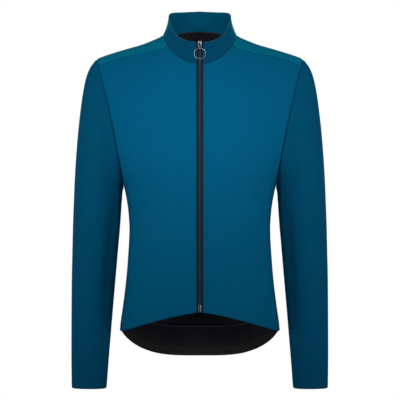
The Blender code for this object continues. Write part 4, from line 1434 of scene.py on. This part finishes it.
def ribbed_elastic(name, colour):
    """Knitted elastic: lengthwise ribs over close crosswise rubber threads."""
    elastic = Finish(name, {"Roughness": 0.8, "Specular IOR Level": 0.25})
    over, up = elastic.across_and_up("cloth")
    ribs = ((up / GRIPPER_RIB) * math.tau).sine() * 0.5 + 0.5
    threads = ((over / GRIPPER_THREAD) * math.tau).sine() * 0.5 + 0.5
    fuzz = elastic.noise(elastic.place(), 700, 3, 0.7)
    weave = ribs * 0.4 + threads * 0.3 + fuzz * 0.3
    elastic.feed("Base Color", elastic.blend(weave, shade(colour, 0.6), shade(colour, 1.5)))
    elastic.bump(weave, 0.0003, 0.6)
    return elastic.material


gripper_cloth = ribbed_elastic("black_ribbed_elastic", (0.0120, 0.0115, 0.0140))
gripper_rows = [k / GRIPPER_ROWS for k in range(GRIPPER_ROWS + 1)]
gripper = shell("tail_gripper_band", both_sides(gripper_half), back_columns, gripper_rows,
                gripper_relief, GRIPPER_WALL, [gripper_cloth, gripper_cloth])
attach(gripper, "jacket")
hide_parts("tail_gripper")

# ------------------------------------------------------------------ seams
# Inside, a seam's two edges are overlocked together into a narrow soft ridge; here the neck,
# tail, side and shoulder seams get one. Only the one above the tail shows from in front.
RIDGE_IN = 0.0022
NECK_RIDGE, TAIL_RIDGE, SIDE_RIDGE = 0.0019, 0.0013, 0.0012


def cloth_line(name, edge, distance):
    """Places and normals on a cloth at one distance from one of its edges."""
    rows = cloths[name]
    if edge in ("low", "high"):
        rows = [list(column) for column in zip(*rows)]
    if edge in ("end", "high"):
        rows = [row[::-1] for row in rows]
    line = []
    for row in rows:
        left = distance
        for (a, normal), (b, _) in zip(row, row[1:]):
            step = (b - a).length
            if step >= left and step > 0:
                line.append((a.lerp(b, left / step), normal))
                break
            left -= step
    return line


def overlocked(name, line, radius, material):
    """A soft thread-bound ridge that follows a line, just inside the cloth."""
    curve = bpy.data.curves.new(name, "CURVE")
    curve.dimensions = "3D"
    curve.bevel_depth = radius
    curve.bevel_resolution = 2
    curve.use_fill_caps = True
    places = [place - normal * RIDGE_IN for place, normal in line]
    spline = curve.splines.new("POLY")
    spline.points.add(len(places) - 1)
    for point, place in zip(spline.points, places):
        point.co = (*place, 1)
    sketch = bpy.data.objects.new(name + "_sketch", curve)
    bpy.context.scene.collection.objects.link(sketch)
    mesh = bpy.data.meshes.new_from_object(sketch)
    bpy.data.objects.remove(sketch)
    mesh.shade_smooth()
    mesh.materials.append(material)
    ridge = bpy.data.objects.new(name, mesh)
    bpy.context.scene.collection.objects.link(ridge)
    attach(ridge, "jacket")


def bound_thread(name, colour):
    """Soft sewing and overlock thread: close small loops that drift a little in tone."""
    thread = Finish(name, {"Roughness": 0.85, "Specular IOR Level": 0.2})
    place = thread.place()
    loops = thread.noise(place, 1500, 1)
    drift = thread.noise(place, 60, 2)
    thread.feed("Base Color", thread.blend(loops * 0.7 + drift * 0.3, shade(colour, 0.6),
                                           shade(colour, 1.45)))
    thread.bump(loops, 0.0004, 0.7)
    return thread.material


inner_thread = bound_thread("black_overlock", (0.016, 0.0150, 0.0175))


def neck_line():
    """The neck seam, with normals between the collar's and the body's."""
    line = []
    for place, normal in cloth_line("collar_cloth", "low", 0.0):
        lean = Vector((0, 0, 1)) if place.y > -0.02 else Vector((0, -0.6, 0.8))
        line.append((place, (normal + lean).normalized()))
    return line


overlocked("neck_seam_ridge", neck_line(), NECK_RIDGE, inner_thread)
# The tail seam's thread is a lighter charcoal than the black overlock: a painted highlight for the
# light on top of this ridge.
overlocked("tail_seam_ridge", cloth_line("tail_panel_cloth", "high", 0.0), TAIL_RIDGE,
           bound_thread("charcoal_overlock_painted_highlight", (0.050, 0.047, 0.052)))
for side, side_edge in (("left", "end"), ("right", "start")):
    front = "front_%s_cloth" % side
    overlocked(side + "_side_seam_ridge", cloth_line(front, side_edge, 0.0), SIDE_RIDGE,
               inner_thread)
    shoulder = [(place, normal) for place, normal in cloth_line(front, "high", 0.0)
                if abs(place.x) > SEAM_START_X]
    overlocked(side + "_shoulder_seam_ridge", shoulder, SIDE_RIDGE, inner_thread)

# ------------------------------------------------------------------ stitching
# Rows of short stitches in thread of the cloth's colour: beside the zip, along the hems, the cuffs
# and the collar's top, round the armholes, and beside the shoulder, neck and tail seams.
STITCH_PITCH, STITCH_LENGTH = 0.0030, 0.0023
THICK_STITCH, THIN_STITCH, STITCH_FLATNESS = 0.00055, 0.00050, 0.8
PROUD = 0.0001
BESIDE_SEAM, BESIDE_FOLD = 0.0026, 0.0030
FRONT_HEM_ROWS, TAIL_HEM_ROWS, CUFF_ROWS = (0.0110, 0.0140), (0.0180, 0.0210), (0.0038, 0.0200)


def sewn(name, lines, width, lift, material):
    """Rows of single stitches, each a small ellipsoid half sunk in the cloth. A line is a cloth,
    one of its edges and the distance from that edge."""
    bm = bmesh.new()
    bmesh.ops.create_uvsphere(bm, u_segments=5, v_segments=4, radius=0.5)
    bmesh.ops.transform(bm, verts=bm.verts, matrix=Matrix.Diagonal(
        (width, width * STITCH_FLATNESS, STITCH_LENGTH, 1)))
    places = [facing(place + normal * lift, along, normal) for line in lines
              for place, along, normal in spaced(cloth_line(*line), STITCH_PITCH)]
    rows = as_object(name, repeated(bm, places), [material])
    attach(rows, "jacket")


body_thread = bound_thread("teal_thread", (0.0006, 0.080, 0.170))
sleeve_thread = bound_thread("teal_sleeve_thread", (0.0006, 0.062, 0.130))
sewn("zip_topstitching",
     [("front_left_cloth", "start", TOPSTITCH), ("front_right_cloth", "end", TOPSTITCH),
      ("collar_cloth", "start", TOPSTITCH), ("collar_cloth", "end", TOPSTITCH)],
     THICK_STITCH, PROUD, body_thread)
sewn("hem_stitching",
     [(name, "low", distance)
      for name, distances in (("front_left_cloth", FRONT_HEM_ROWS),
                              ("front_right_cloth", FRONT_HEM_ROWS),
                              ("tail_panel_cloth", TAIL_HEM_ROWS))
      for distance in distances], THICK_STITCH, PROUD, body_thread)
sewn("seam_stitching",
     [("front_left_cloth", "high", BESIDE_SEAM), ("front_right_cloth", "high", BESIDE_SEAM),
      ("back_cloth", "low", BESIDE_SEAM), ("collar_cloth", "high", BESIDE_FOLD)],
     THIN_STITCH, 0.0, body_thread)
sewn("sleeve_stitching",
     [(name, edge, distance)
      for name in ("sleeve_left_cloth", "sleeve_right_cloth")
      for edge, distance in (("high", BESIDE_SEAM), ("low", CUFF_ROWS[0]), ("low", CUFF_ROWS[1]))],
     THIN_STITCH, PROUD, sleeve_thread)

# ------------------------------------------------------------------ floor
# A plain pale studio floor where the wearer would stand, far below the hem. It fades out towards
# its rim, so that no edge shows.
FLOOR_Z = -1.45
FLOOR_RADIUS, FLOOR_FADE, FLOOR_STRENGTH = 5.5, 3.2, 0.3

bm = bmesh.new()
disc = bmesh.ops.create_circle(bm, cap_ends=True, segments=96, radius=FLOOR_RADIUS)["verts"]
bmesh.ops.translate(bm, vec=(0, 0, FLOOR_Z), verts=disc)
pale = Finish("pale_floor", {"Roughness": 0.9, "Specular IOR Level": 0.2})
speck = pale.noise(pale.place(), 40, 2)
pale.feed("Base Color", pale.blend(speck, (0.78, 0.78, 0.78, 1), (0.82, 0.82, 0.82, 1)))
reach = pale.node("VectorMath", {"operation": "LENGTH"}, {"Vector": pale.place()}, "Value")
pale.feed("Alpha", ((FLOOR_RADIUS - reach) / FLOOR_FADE).limited() * FLOOR_STRENGTH)
as_object("floor", bm, [pale.material])
